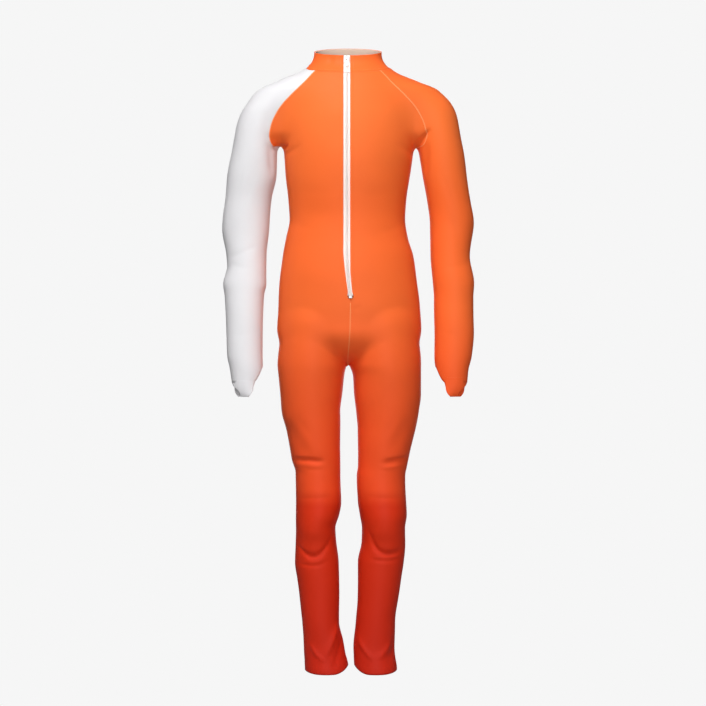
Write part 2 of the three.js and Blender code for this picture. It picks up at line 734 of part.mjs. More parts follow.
// The bottom stop closes the chain's end
function stopGeometry() {
  const ends = [ZIP.bottom + ZIP.stopHeight, ZIP.bottom + 0.5].map((z) => (offset) => {
    const p = pointAcross(lookUp(CENTRE, z).x + offset, z, 0, -1);
    return [p, outwardAt(p)];
  });
  const depth = ZIP.tapeDepth - CLEARANCE - ZIP.stopWall;
  return stripGeometry(ends, [-ZIP.stopHalf, 0, ZIP.stopHalf], depth, ZIP.stopWall);
}

// Frame of the slider: X across, the second axis up along the zip, the third out of the chest
function sliderFrame() {
  const middle = lookUp(CENTRE, NECK_HEIGHT).x;
  const [low, high] = [0.5, 1].map((share) => collarPoint(collarAngle(middle, share), share));
  const up = high.clone().sub(low).setX(0).normalize();
  const across = vector(1, 0, 0);
  return new THREE.Matrix4().makeBasis(across, up, across.clone().cross(up)).setPosition(low.lerp(high, 0.5));
}

const wasm = await Module();
wasm.setup();

function solidOf(geometry) {
  const bare = geometry.clone().deleteAttribute('normal').deleteAttribute('uv');
  const merged = mergeVertices(bare, 1e-4);
  return new wasm.Manifold(new wasm.Mesh({
    numProp: 3,
    vertProperties: new Float32Array(merged.attributes.position.array),
    triVerts: new Uint32Array(merged.index.array),
  }));
}

function geometryOf(solid) {
  const mesh = solid.getMesh();
  const geometry = new THREE.BufferGeometry();
  geometry.setAttribute('position', new THREE.BufferAttribute(new Float32Array(mesh.vertProperties), 3));
  geometry.setIndex(new THREE.BufferAttribute(new Uint32Array(mesh.triVerts), 1));
  geometry.computeVertexNormals();
  return geometry;
}

function outline(points) {
  return new THREE.Shape(points.map(([x, y]) => new THREE.Vector2(x, y)));
}

// The slider: a channel over the chain with a lug that holds the pull
function sliderGeometry() {
  const { halfWidth, halfInside, height, plate, flange } = SLIDER;
  const channel = outline([
    [-halfWidth, -flange], [-halfInside, -flange], [-halfInside, 0], [halfInside, 0], [halfInside, -flange],
    [halfWidth, -flange], [halfWidth, plate * 0.6], [halfInside, plate], [-halfInside, plate],
    [-halfWidth, plate * 0.6],
  ]);
  const body = new THREE.ExtrudeGeometry(channel, { depth: height, bevelEnabled: false });
  body.rotateX(Math.PI / 2).applyMatrix4(new THREE.Matrix4().makeScale(1, -1, 1));
  body.translate(0, -height / 2, 0);
  body.setIndex(flipped([...Array(body.attributes.position.count).keys()]));
  const lug = outline([
    [-LUG.halfLength, plate / 2], [LUG.halfLength, plate / 2], [LUG.halfLength, LUG.top - 1.2],
    [LUG.halfLength - 1.2, LUG.top], [1.2 - LUG.halfLength, LUG.top], [-LUG.halfLength, LUG.top - 1.2],
  ]);
  lug.holes.push(outline([
    [-LUG.halfGap, LUG.gapFrom], [-LUG.halfGap, LUG.gapTo],
    [LUG.halfGap, LUG.gapTo], [LUG.halfGap, LUG.gapFrom],
  ]));
  const arch = new THREE.ExtrudeGeometry(lug, { depth: LUG.width, bevelEnabled: false });
  arch.translate(0, 0, -LUG.width / 2);
  arch.applyMatrix4(new THREE.Matrix4().makeBasis(vector(0, 1, 0), vector(0, 0, 1), vector(1, 0, 0)));
  return geometryOf(solidOf(body).add(solidOf(arch))).applyMatrix4(sliderFrame());
}

// The pull hangs from the lug by its top bar, its tip held a little clear of the chain
function pullGeometry() {
  const half = PULL.wall / 2;
  const { halfTop, halfTip, length } = PULL;
  const plate = outline([
    [-halfTop, half - 0.5], [-halfTop + 0.5, half], [halfTop - 0.5, half], [halfTop, half - 0.5],
    [halfTop, -6], [halfTip, 2 - length], [halfTip - 1.4, -length],
    [1.4 - halfTip, -length], [-halfTip, 2 - length], [-halfTop, -6],
  ]);
  const body = new THREE.ExtrudeGeometry(plate, { depth: PULL.wall, bevelEnabled: false });
  body.translate(0, 0, -half);
  const eye = new THREE.BoxGeometry(PULL.eyeWidth, PULL.eyeEnd - half, 2 * PULL.wall);
  eye.translate(0, -(PULL.eyeEnd + half) / 2, 0);
  const grip = new THREE.CylinderGeometry(PULL.grip, PULL.grip, 2 * PULL.wall, 12);
  grip.rotateX(Math.PI / 2).translate(0, -PULL.gripAt, 0);
  const pierced = geometryOf(solidOf(body).subtract(solidOf(eye)).subtract(solidOf(grip)));
  return pierced.rotateX(-radians(PULL.rest)).translate(0, 0, HINGE_LIFT).applyMatrix4(sliderFrame());
}

// The finger loop of one cuff
function loopGeometry(side) {
  const s = lookUp(side < 0 ? RIGHT_ARM : LEFT_ARM, CUFF.tongue);
  const reach = (s.outer - s.inner) / 2;
  const centre = vector((side * (s.outer + s.inner)) / 2, -s.forward, 0);
  const turn = radians(90 + CUFF.turn);
  const out = vector(-side * Math.cos(turn), -Math.sin(turn), 0);
  const across = vector(-side * Math.sin(turn), Math.cos(turn), 0);
  const grid = [];
  for (let r = 0; r < LOOP_ROWS; r += 1) {
    const row = LOOP.rows[r];
    const [, drop, inset, outerReach, innerReach, bow] = row;
    const points = [];
    for (let c = 0; c <= LOOP_COLUMNS; c += 1) {
      const q = mix(-outerReach, innerReach, c / LOOP_COLUMNS);
      const sag = reach - Math.sqrt(reach ** 2 - q ** 2);
      points.push(centre.clone().addScaledVector(across, q).addScaledVector(out, reach - inset - bow * sag)
        .setZ(CUFF.tongue - drop));
    }
    grid.push(points);
  }
  const inner = grid.map((points, r) => points.map((p, c) => {
    const down = grid[Math.min(r + 1, LOOP_ROWS - 1)][c].clone().sub(grid[Math.max(r - 1, 0)][c]);
    const wide = points[Math.min(c + 1, LOOP_COLUMNS)].clone().sub(points[Math.max(c - 1, 0)]);
    return p.clone().addScaledVector(wide.cross(down).normalize(), side * WALL);
  }));
  return wallGeometry(grid, inner);
}

const frontOffsets = (side, from, to) => [from, (from + to) / 2, to].map((offset) => side * offset);

for (const [side, name] of [[-1, 'right'], [1, 'left']]) {
  add(`front_${name}`, clothGeometry(panelRows(side, -1)), ORANGE);
  add(`back_${name}`, clothGeometry(panelRows(side, 1)), ORANGE);
  add(`sleeve_${name}`, clothGeometry(sleeveRows(side)), side < 0 ? WHITE : ORANGE);
  add(`finger_loop_${name}`, loopGeometry(side), side < 0 ? WHITE : ORANGE);
  const offsets = frontOffsets(side, ZIP.tapeFrom, ZIP.tapeTo);
  add(`zip_tape_${name}`, stripGeometry(zipStations(), offsets, ZIP.tapeDepth, ZIP.tapeWall), ZIP_WHITE);
}
const chainDepth = ZIP.tapeDepth - CLEARANCE - ZIP.chainWall;
const chainOffsets = frontOffsets(1, -ZIP.chainHalf, ZIP.chainHalf);
add('zip_chain', stripGeometry(zipStations(), chainOffsets, chainDepth, ZIP.chainWall), ZIP_WHITE);
add('zip_stop', stopGeometry(), ZIP_WHITE);
add('zip_slider', sliderGeometry(), METAL);
add('zip_pull', pullGeometry(), METAL);
add('collar', collarGeometry(COLLAR.shares, 0, 0, WALL), ORANGE);
add('collar_lining', collarGeometry(LINING.shares, LINING.skip, WALL + CLEARANCE, LINING.wall), WHITE);

export default group;
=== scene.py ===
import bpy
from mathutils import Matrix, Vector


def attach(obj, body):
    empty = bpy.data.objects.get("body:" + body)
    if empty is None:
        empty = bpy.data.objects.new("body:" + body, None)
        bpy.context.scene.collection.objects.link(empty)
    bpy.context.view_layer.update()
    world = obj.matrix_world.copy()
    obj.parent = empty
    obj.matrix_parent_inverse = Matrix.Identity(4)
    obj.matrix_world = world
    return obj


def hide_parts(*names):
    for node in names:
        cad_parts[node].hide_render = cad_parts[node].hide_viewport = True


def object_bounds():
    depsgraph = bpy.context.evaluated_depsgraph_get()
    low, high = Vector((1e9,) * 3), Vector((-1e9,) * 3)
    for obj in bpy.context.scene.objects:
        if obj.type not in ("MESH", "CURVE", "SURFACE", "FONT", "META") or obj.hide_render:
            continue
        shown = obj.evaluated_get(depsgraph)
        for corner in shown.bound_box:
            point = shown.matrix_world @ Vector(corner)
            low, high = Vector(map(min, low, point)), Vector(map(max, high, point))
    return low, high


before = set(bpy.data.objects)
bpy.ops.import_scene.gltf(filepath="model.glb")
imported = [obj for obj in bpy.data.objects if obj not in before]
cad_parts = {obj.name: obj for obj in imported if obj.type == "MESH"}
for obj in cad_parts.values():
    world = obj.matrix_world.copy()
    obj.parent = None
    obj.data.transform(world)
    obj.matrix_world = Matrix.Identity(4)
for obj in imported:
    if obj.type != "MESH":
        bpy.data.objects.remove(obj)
CAD_BOX = [list(corner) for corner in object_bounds()]

import math
import bpy
import numpy as np

# The studio: a pale sweep under and behind the suit and a pale backdrop right round it, one large soft light
# high in front, a broad fill from the front, one from behind and a low world light. The camera stands 3 m
# off, level with the middle of the suit. Sweep and backdrop show one plain colour, without shadows.
CAMERA_PLACE = (0.0095, -3.0, -0.5344)
CAMERA_LENS = 80.7
FLOOR_HEIGHT = CAD_BOX[0][2] - 0.08
SWEEP = {"half_width": 6.0, "front": -6.0, "bend_from": 2.6, "bend": 1.2, "top": 5.0}
SWEEP_COLOUR = (0.922, 0.922, 0.922, 1)
LIGHT_AIM = (0.0, 0.0, -0.45)
WORLD_STRENGTH = 0.2
SOFT_LIGHTS = [
    ("key_light", (-0.35, -1.25, 1.35), 0.8, 36),
    ("fill_light", (0.3, -3.3, -0.3), 2.2, 50),
    ("rear_light", (0.0, 2.3, -0.1), 2.0, 34),
]

camera = bpy.data.objects.new("camera", bpy.data.cameras.new("camera"))
camera.location = CAMERA_PLACE
camera.rotation_euler = (math.radians(90), 0, 0)
camera.data.lens = CAMERA_LENS
bpy.context.collection.objects.link(camera)
bpy.context.scene.camera = camera
bpy.context.scene.view_settings.view_transform = "Standard"

for name, place, size, power in SOFT_LIGHTS:
    light = bpy.data.lights.new(name, "AREA")
    light.shape = "SQUARE"
    light.size = size
    light.energy = power
    lamp = bpy.data.objects.new(name, light)
    lamp.location = place
    lamp.visible_camera = False
    aim = np.array(LIGHT_AIM) - np.array(place)
    lamp.rotation_euler = (math.acos(-aim[2] / np.linalg.norm(aim)), 0, math.atan2(-aim[0], aim[1]))
    bpy.context.collection.objects.link(lamp)

world = bpy.data.worlds.new("studio")
world.use_nodes = True
world.node_tree.nodes["Background"].inputs["Color"].default_value = (1, 1, 1, 1)
world.node_tree.nodes["Background"].inputs["Strength"].default_value = WORLD_STRENGTH
bpy.context.scene.world = world


def sweep_profile():
    turn = [math.radians(a) for a in range(0, 91, 6)]
    back, bend = SWEEP["bend_from"], SWEEP["bend"]
    curve = [(back + bend * math.sin(a), FLOOR_HEIGHT + bend * (1 - math.cos(a))) for a in turn]
    return [(SWEEP["front"], FLOOR_HEIGHT)] + curve + [(back + bend, SWEEP["top"])]


profile = sweep_profile()
sweep_mesh = bpy.data.meshes.new("sweep")
sweep_mesh.from_pydata(
    [(x, y, z) for x in (-SWEEP["half_width"], SWEEP["half_width"]) for y, z in profile], [],
    [(i, i + 1, len(profile) + i + 1, len(profile) + i) for i in range(len(profile) - 1)],
)
sweep = bpy.data.objects.new("sweep", sweep_mesh)
bpy.context.collection.objects.link(sweep)
sweep_finish = bpy.data.materials.new("sweep_paper")
sweep_finish.use_nodes = True
paper = sweep_finish.node_tree.nodes["Principled BSDF"]
paper.inputs["Base Color"].default_value = (0.3, 0.3, 0.3, 1)
paper.inputs["Roughness"].default_value = 0.95
paper.inputs["Specular IOR Level"].default_value = 0.0
seen_paper = sweep_finish.node_tree.nodes.new("ShaderNodeEmission")
seen_paper.inputs["Color"].default_value = SWEEP_COLOUR
seen_or_lit = sweep_finish.node_tree.nodes.new("ShaderNodeMixShader")
ray = sweep_finish.node_tree.nodes.new("ShaderNodeLightPath")
paper_links = sweep_finish.node_tree.links
paper_links.new(ray.outputs["Is Camera Ray"], seen_or_lit.inputs[0])
paper_links.new(paper.outputs[0], seen_or_lit.inputs[1])
paper_links.new(seen_paper.outputs[0], seen_or_lit.inputs[2])
paper_links.new(seen_or_lit.outputs[0], sweep_finish.node_tree.nodes["Material Output"].inputs["Surface"])
sweep_mesh.materials.append(sweep_finish)

# The backdrop is only seen: it neither lights the suit nor shades it.
BACKDROP = {"radius": 9.0, "top": 9.0, "below_sweep": 0.02, "sides": 48}
sides = BACKDROP["sides"]
turns = [2 * math.pi * k / sides for k in range(sides)]
rim = [(BACKDROP["radius"] * math.cos(turn), BACKDROP["radius"] * math.sin(turn)) for turn in turns]
backdrop_bottom = FLOOR_HEIGHT - BACKDROP["below_sweep"]
backdrop_mesh = bpy.data.meshes.new("backdrop")
backdrop_mesh.from_pydata(
    [(x, y, z) for z in (backdrop_bottom, BACKDROP["top"]) for x, y in rim], [],
    [tuple(range(sides))] + [(k, (k + 1) % sides, sides + (k + 1) % sides, sides + k) for k in range(sides)],
)
backdrop_mesh.materials.append(sweep_finish)
backdrop = bpy.data.objects.new("backdrop", backdrop_mesh)
bpy.context.collection.objects.link(backdrop)
backdrop.visible_diffuse = backdrop.visible_glossy = backdrop.visible_shadow = False
backdrop.visible_transmission = False

# Front panels, right and left: stretch laminate cut in one length from the neck to the ankle, joined to each
# other below the zip, to the backs at the sides and inseams, and to the sleeves along the raglan line.
# Sizes are in millimetres until a mesh is made.
CLOTH = 1.4
ZIP_BOTTOM = -434.0
ARMPIT = -152.0
NECK_HEIGHT = 8.0
NECK_TILT = 0.31
FINE_STEP = 3.2
EDGE_COLUMNS = [0.15, 0.6, 1.2, 2.0, 3.2, 4.6]
PANEL_MIDDLES = 52
SEAT = {"start": -488.0, "reach": 64.0}
THIGH_TOP = {"start": -486.0, "reach": 60.0}
NECK_HALF_WIDTH = 76
BACK_NECK_SHARE = 0.92
SEAM_GAP = 0.15
ZIP_GAP = {"low": 3.9, "high": 6.2, "from": -410, "over": 60}
SEAM_RELIEF = {"raise": 0.35, "from": 4.0, "over": 1.4, "groove": 0.3, "half_width": 0.8}
HEM_RELIEF = {"raise": 0.5, "over": 2.5, "groove": 0.35, "half_width": 1.2}
UNEVENNESS = 0.35
STRIDE, HALVINGS = 3.0, 22

# z, half width to the wearer's right, to the left, depth before the axis, behind it
TRUNK = np.array([
    (50, 66, 66, 55, 54), (26, 68, 68, 57, 56), (8, 75, 75, 60, 58), (2, 83, 82, 62, 61),
    (-9, 103, 101, 65, 67), (-15, 113, 112, 67, 71), (-24, 123, 123, 70, 76), (-40, 131, 131, 76, 82),
    (-62, 134, 134, 82, 87), (-100, 129, 129, 88, 90), (-157, 121, 123, 90, 87), (-205, 117, 116, 86, 80),
    (-248, 112, 110, 80, 74), (-280, 110, 108, 77, 71), (-316, 117, 113, 79, 75), (-351, 123, 123, 85, 85),
    (-396, 129, 130, 90, 98), (-440, 131, 135, 91, 104), (-490, 133, 138, 88, 104),
], float)[::-1]
# z, outer edge, inner edge, depth before, behind
RIGHT_LEG = np.array([
    (-480, 125, 4, 80, 94), (-520, 130, 3, 81, 93), (-555, 133, 4, 80, 88), (-578, 131, 8, 77, 84),
    (-612, 128, 11, 71, 79), (-646, 125, 15, 65, 72), (-680, 116, 15, 60, 66), (-714, 110, 15, 56, 61),
    (-737, 106, 15, 53, 58), (-760, 99, 15, 51, 54), (-817, 98, 13, 53, 46), (-841, 98, 17, 55, 44),
    (-866, 98, 24, 52, 44), (-891, 99, 23, 46, 46), (-930, 100, 18, 43, 51), (-960, 96, 17, 41, 54),
    (-999, 91, 17, 39, 53), (-1044, 86, 17, 37, 47), (-1078, 84, 10, 36, 43), (-1101, 83, 6, 37, 41),
    (-1137, 81, -1, 41, 43),
], float)[::-1]
LEFT_LEG = np.array([
    (-480, 130, 4, 80, 94), (-520, 135, 3, 81, 93), (-555, 138, 4, 80, 88), (-578, 138, 10, 77, 84),
    (-612, 138, 12, 71, 79), (-646, 134, 16, 65, 72), (-680, 127, 19, 60, 66), (-714, 119, 19, 56, 61),
    (-749, 111, 19, 52, 56), (-766, 108, 17, 51, 53), (-817, 110, 19, 53, 46), (-841, 111, 23, 55, 44),
    (-866, 108, 27, 52, 44), (-891, 108, 26, 46, 46), (-930, 105, 19, 43, 51), (-965, 100, 19, 41, 54),
    (-1000, 95, 19, 39, 53), (-1044, 89, 15, 37, 47), (-1090, 88, 11, 36, 42), (-1137, 92, 13, 41, 43),
], float)[::-1]
# z, outer edge, inner edge, how far the axis lies forward, depth
RIGHT_ARM = np.array([
    (-9, 92, 60, 0, 10), (-15, 114, 56, 0, 20), (-21, 133, 56, 0, 28), (-27, 151, 60, 0, 34),
    (-34, 167, 68, 0, 39), (-44, 178, 80, 0, 43), (-62, 191, 97, 0, 46), (-85, 205, 113, 0, 48),
    (-108, 212, 123, 0, 48), (-131, 216, 130, 0, 47), (-153, 220, 134, 0, 46), (-199, 229, 136, -2, 44),
    (-244, 233, 146, -4, 41), (-301, 239, 150, -5, 40), (-347, 231, 155, -1, 39), (-370, 229, 155, 2, 38),
    (-404, 236, 155, 7, 38), (-426, 233, 159, 10, 37), (-495, 229, 161, 19, 34), (-540, 227, 161, 25, 32),
    (-563, 222, 160, 28, 30), (-597, 216, 164, 31, 26), (-620, 210, 168, 32, 23),
], float)[::-1]
LEFT_ARM = np.array([
    (-9, 94, 60, 0, 10), (-15, 112, 56, 0, 20), (-21, 130, 56, 0, 28), (-27, 148, 60, 0, 34),
    (-34, 166, 68, 0, 39), (-44, 178, 80, 0, 43), (-62, 195, 97, 0, 46), (-85, 206, 113, 0, 48),
    (-108, 211, 123, 0, 48), (-131, 215, 130, 0, 47), (-153, 219, 134, 0, 46), (-203, 226, 143, -2, 44),
    (-248, 233, 151, -4, 41), (-288, 239, 156, -5, 40), (-351, 231, 157, -1, 39), (-402, 239, 161, 7, 38),
    (-430, 237, 163, 10, 37), (-487, 237, 163, 18, 35), (-540, 233, 163, 25, 32), (-567, 226, 165, 28, 30),
    (-601, 222, 169, 31, 26), (-620, 216, 173, 32, 23),
], float)[::-1]
# step, seam x, seam z, shoulder edge x, edge z, tilt of the row, height of the row at the centre line
RAGLAN = np.array([
    (0, 58, -7, 76, 8, 0.31, 8), (1, 72, -20, 100, -8, 0.28, -9), (2, 89, -38, 136, -22, 0.24, -26),
    (3, 108, -56, 166, -36, 0.18, -46), (4, 124, -73, 186, -56, 0.12, -66), (5, 136, -91, 198, -76, 0.07, -86),
    (6, 144, -110, 207, -96, 0.03, -106), (7, 147, -130, 214, -120, 0.01, -126),
    (8, 141, -144, 218, -139, 0, -142), (9, 127, -153, 220, -153, 0, -153),
], float)
RAGLAN_STEPS = 9
BACK_RAGLAN_LIFT = 14.0
# z, x of the front's centre line
CENTRE = np.array([(40, -2), (-340, -2), (-400, 1), (-434, 5), (-500, 4), (-552, 0)], float)[::-1]
TRUNK_ROWS = [-175, -203, -232, -262, -290, -320, -352, -388, -422, -433.5, -436, -462, -488]
CROTCH_DROPS = [34, 20, 10, 4, 1.2]
LEG_ROWS = [-566, -590, -622, -655, -688, -716, -734, -745, -757, -776, -800, -825, -848, -866,
            -878, -889, -902, -925, -960, -1000, -1044, -1080, -1110, -1137]
HEM = {"inner": 12.0, "outer": 3.0, "back": 3.0}

# The folds: x and z of the middle, angle in degrees, half length, half width, depth, the side of the suit,
# -1 in front and 1 behind, and how far the ends rise. A negative depth stands out.
FOLDS = [
    (-74, -736, -2, 28, 5, 4.6, -1, 0), (92, -736, 9, 27, 5, 4.8, -1, 0), (-92, -700, -55, 38, 12, 2.0, -1, 0),
    (96, -690, 60, 38, 12, 2.0, -1, 0), (-63, -915, 6, 26, 5.5, 4.4, -1, 17), (66, -909, -19, 31, 5.5, 4.4, -1, 17),
    (-61, -872, 0, 30, 30, -1.4, -1, 0), (74, -870, 0, 30, 30, -1.4, -1, 0), (-58, -822, 3, 32, 7, 4, 1, 0),
    (66, -826, -3, 32, 7, 4, 1, 0), (-60, -560, -14, 46, 10, 4, 1, 6), (64, -560, 14, 46, 10, 4, 1, 6),
]
# The smaller creases, in the same form.
CREASES = [
    (-74, -733, -2, 26, 2.2, 1.8, -1, 0), (92, -733, 8, 24, 2.2, 1.8, -1, 0), (-66, -752, -6, 26, 4, 1.0, -1, 4),
    (84, -754, 8, 24, 4, 1.0, -1, 4), (-82, -672, -50, 24, 7, 0.8, -1, 0), (82, -668, 54, 24, 7, 0.8, -1, 0),
    (-60, -805, 1, 34, 4, 1.2, -1, 0), (72, -805, -2, 34, 4, 1.2, -1, 0), (-62, -932, 6, 28, 2.6, 2.0, -1, 6),
    (70, -923, 0, 24, 2.6, 2.4, -1, 2), (-36, -890, 62, 14, 4, 1.2, -1, 0), (44, -878, -64, 14, 4, 1.2, -1, 0),
    (-60, -1098, -50, 20, 4, -2.6, -1, 3), (-29, -1074, 70, 32, 5, -3.0, -1, 2),
    (31, -1091, -55, 24, 4.5, -2.8, -1, 3), (69, -1095, 49, 18, 4.5, -2.6, -1, 2),
    (-17, -1096, 74, 32, 7, 2.6, -1, 0), (86, -1090, 70, 28, 7, 2.2, -1, 0),
    (-127, -147, 8, 14, 3.4, 5.4, -1, 0), (140, -132, 47, 20, 3.6, 5.2, -1, 0), (-108, -158, 16, 22, 5, 1.6, -1, 3),
    (112, -156, -20, 22, 5, 1.6, -1, 3), (147, -172, 86, 26, 5, 3.0, -1, 0), (-145, -172, -86, 26, 5, 2.4, -1, 0),
    (-84, -300, -20, 26, 8, 0.7, -1, 3), (80, -304, 22, 26, 8, 0.7, -1, 3), (-62, -236, -14, 30, 9, 0.4, -1, 4),
    (60, -240, 15, 30, 9, 0.4, -1, 4), (17, -452, 38, 7, 3, 1.0, -1, 0), (-24, -528, -50, 20, 6, 0.7, -1, 0),
    (28, -530, 48, 20, 6, 0.7, -1, 0), (-196, -346, 24, 30, 6, 1.1, -1, 3), (204, -310, -60, 26, 6, 1.2, -1, 0),
    (-200, -374, -12, 24, 5, 0.6, -1, 3), (204, -372, 12, 24, 5, 0.7, -1, 3), (-192, -500, 10, 22, 6, 0.5, -1, 2),
    (196, -500, -10, 22, 6, 0.5, -1, 2), (-186, -228, 70, 40, 6, 1.0, -1, 0), (188, -232, -70, 40, 6, 1.0, -1, 0),
    (-70, -262, 8, 44, 6, 2.0, 1, 5), (66, -270, -7, 44, 6, 2.0, 1, 5), (-20, -292, -4, 42, 5, 1.7, 1, 4),
    (-72, -838, 6, 28, 3, 2.2, 1, 5), (80, -842, -6, 28, 3, 2.2, 1, 5), (-60, -806, -4, 26, 4, 1.8, 1, 3),
    (66, -808, 5, 26, 4, 1.8, 1, 3), (-46, -584, -22, 34, 5, 2.2, 1, 5), (50, -586, 20, 34, 5, 2.2, 1, 5),
    (-120, -152, 40, 22, 5, 3.4, 1, 0), (122, -150, -42, 22, 5, 3.4, 1, 0), (-196, -330, -6, 26, 5, 2.0, 1, 3),
    (198, -334, 7, 26, 5, 2.0, 1, 3), (-200, -354, 10, 24, 4, 1.6, 1, 3), (202, -358, -9, 24, 4, 1.6, 1, 3),
    (-56, -1090, 30, 26, 5, 1.8, 1, 3), (58, -1092, -32, 26, 5, 1.8, 1, 3), (-34, -180, 24, 46, 7, 1.2, 1, 0),
]


def smooth(t):
    t = np.clip(t, 0, 1)
    return t * t * (3 - 2 * t)


def mixed(a, b, t):
    return a + (b - a) * t


def slopes(keys, values):
    step = np.diff(values, axis=0) / np.diff(keys)[:, None]
    product = step[:-1] * step[1:]
    total = np.where(product > 0, step[:-1] + step[1:], 1)
    inside = np.where(product > 0, 2 * product / total, 0)
    flat = np.zeros((1, values.shape[1]))
    return np.vstack([flat, inside, flat])


def look_up(rows, at):
    """Every column of a table at a height or step, smoothly, one row of results for each value."""
    keys, values = rows[:, 0], rows[:, 1:]
    key = np.clip(np.asarray(at, float), keys[0], keys[-1])
    i = np.clip(np.searchsorted(keys, key) - 1, 0, len(keys) - 2)
    span = keys[i + 1] - keys[i]
    t = ((key - keys[i]) / span)[..., None]
    bend = slopes(keys, values)
    curve = (2 * t**3 - 3 * t**2 + 1) * values[i] + (3 * t**2 - 2 * t**3) * values[i + 1]
    leaning = (t**3 - 2 * t**2 + t) * bend[i] + (t**3 - t**2) * bend[i + 1]
    return np.moveaxis(curve + span[..., None] * leaning, -1, 0)


def oval(x, y, half_width, depth):
    half_width, depth = np.maximum(half_width, 1e-3), np.maximum(depth, 1e-3)
    near = np.hypot(x / half_width, y / depth)
    scale = np.hypot(x / half_width**2, y / depth**2)
    return np.where(scale < 1e-9, -np.minimum(half_width, depth), near * (near - 1) / np.maximum(scale, 1e-9))


def joined(a, b, reach):
    overlap = np.maximum(reach - np.abs(a - b), 0) / reach
    return np.minimum(a, b) - overlap * overlap * reach / 4


def closing(distance, reach):
    return np.where(distance <= 0, 1, np.sqrt(np.maximum(1 - (distance / reach) ** 2, 0)))


def trunk_value(x, y, z):
    right, left, front, back = look_up(TRUNK, z)
    share = closing(SEAT["start"] - z, SEAT["reach"])
    kept = np.maximum(share, 0.02)
    side = oval(x - (left - right) / 2, y, (right + left) / 2 * kept, np.where(y < 0, front, back) * kept)
    return np.where(share < 0.02, np.hypot(x, y) + SEAT["start"] - SEAT["reach"] - z, side)


def leg_value(x, y, z, rows, side):
    outer, inner, front, back = look_up(rows, z)
    share = closing(z - THIGH_TOP["start"], THIGH_TOP["reach"])
    kept = np.maximum(share, 0.02)
    middle = side * (outer + inner) / 2
    round_leg = oval(x - middle, y, (outer - inner) / 2 * kept, np.where(y < 0, front, back) * kept)
    return np.where(share < 0.02, np.hypot(x - middle, y) + z - THIGH_TOP["start"], round_leg)


def arm_value(x, y, z, rows, side):
    outer, inner, forward, depth = look_up(rows, z)
    return oval(x - side * (outer + inner) / 2, y + forward, (outer - inner) / 2, depth) + np.maximum(z + 9, 0)


FAR = 1000.0


def body_value(p):
    """Below zero inside the filled-out suit, zero on its outside. Limbs far from a point are left out."""
    shape = p.shape[:-1]
    x, y, z = p.reshape(-1, 3).T
    value = np.full(x.shape, FAR)
    near = z > SEAT["start"] - SEAT["reach"] - 30
    value[near] = trunk_value(x[near], y[near], z[near])
    near = z < -400
    legs = joined(leg_value(x[near], y[near], z[near], RIGHT_LEG, -1),
                  leg_value(x[near], y[near], z[near], LEFT_LEG, 1), 14.0)
    value[near] = joined(value[near], legs, 14.0)
    for side, rows in ((-1, RIGHT_ARM), (1, LEFT_ARM)):
        near = (z > -650) & (side * x >= (0 if side > 0 else 1e-12))
        height = z[near]
        reach = mixed(13.0, 46.0, smooth((height - ARMPIT + 2) / 36)) * mixed(1.0, 0.2, smooth((height + 45) / 45))
        value[near] = joined(value[near], arm_value(x[near], y[near], height, rows, side), reach)
    return value.reshape(shape)


def outward(p):
    corners = np.array([(1, 1, 1), (1, -1, -1), (-1, 1, -1), (-1, -1, 1)])
    slope = sum(corner * body_value(p + 0.35 * corner)[..., None] for corner in corners)
    return slope / np.maximum(np.linalg.norm(slope, axis=-1, keepdims=True), 1e-9)


def settled(p):
    """The nearest points of the suit's outside."""
    for _ in range(2):
        p = p - outward(p) * body_value(p)[..., None]
    return p


def cast(origin, direction, side=0, plane=0.0):
    """First place where rays from inside leave the suit, or cross the plane that ends their own half."""
    origin = np.broadcast_to(origin, direction.shape)
    plane = np.broadcast_to(plane, direction.shape[:-1])

    def value(reach):
        p = origin + direction * reach[..., None]
        out = body_value(p)
        return out if side == 0 else np.where(side * (p[..., 0] - plane) < 0, 0.15, out)

    far = np.full(direction.shape[:-1], STRIDE)
    moving = np.ones(far.shape, bool)
    for _ in range(86):
        moving &= value(far) < 0
        if not moving.any():
            break
        far = np.where(moving, far + STRIDE, far)
    near = far - STRIDE
    for _ in range(HALVINGS):
        middle = (near + far) / 2
        inside = value(middle) < 0
        near, far = np.where(inside, middle, near), np.where(inside, far, middle)
    return origin + direction * far[..., None]


def point_across(x, height, tilt, facing):
    """Points of the suit at a distance from the centre plane, before or behind the axis."""
    x, height, tilt = np.broadcast_arrays(np.asarray(x, float), height, tilt)
    at = lambda y: np.stack([x, y, height + tilt * y], axis=-1)
    y = np.zeros(x.shape)
    moving = np.ones(x.shape, bool)
    for _ in range(66):
        moving &= body_value(at(y)) < 0
        if not moving.any():
            break
        y = np.where(moving, y + facing * STRIDE, y)
    near = y - facing * STRIDE
    for _ in range(HALVINGS):
        middle = (near + y) / 2
        inside = body_value(at(middle)) < 0
        near, y = np.where(inside, middle, near), np.where(inside, y, middle)
    return at(y)


def neck_point(angle, height=NECK_HEIGHT):
    angle = np.asarray(angle, float)
    direction = np.stack([np.cos(angle), np.sin(angle), NECK_TILT * np.sin(angle)], axis=-1)
    return cast(np.array([0, 0, height]), direction)


def neck_seam_angle(side, facing):
    across = math.acos(RAGLAN[0, 1] * (BACK_NECK_SHARE if facing > 0 else 1) / NECK_HALF_WIDTH)
    return facing * across if side > 0 else facing * (math.pi - across)


def raglan_fan(step, side, facing):
    seam_x, seam_z, edge_x, edge_z, _, _ = look_up(RAGLAN, step)
    lift = BACK_RAGLAN_LIFT * (1 - smooth(step / 4)) if facing > 0 else 0
    edge = np.array([side * edge_x, 0, edge_z])
    centre = (edge + np.array([side * seam_x, 0, seam_z])) / 2
    inward = np.array([side * seam_x, 0, seam_z + lift]) - centre
    outside, width = edge - centre, np.linalg.norm(inward)
    return centre, outside / np.linalg.norm(outside), inward / width, width, facing


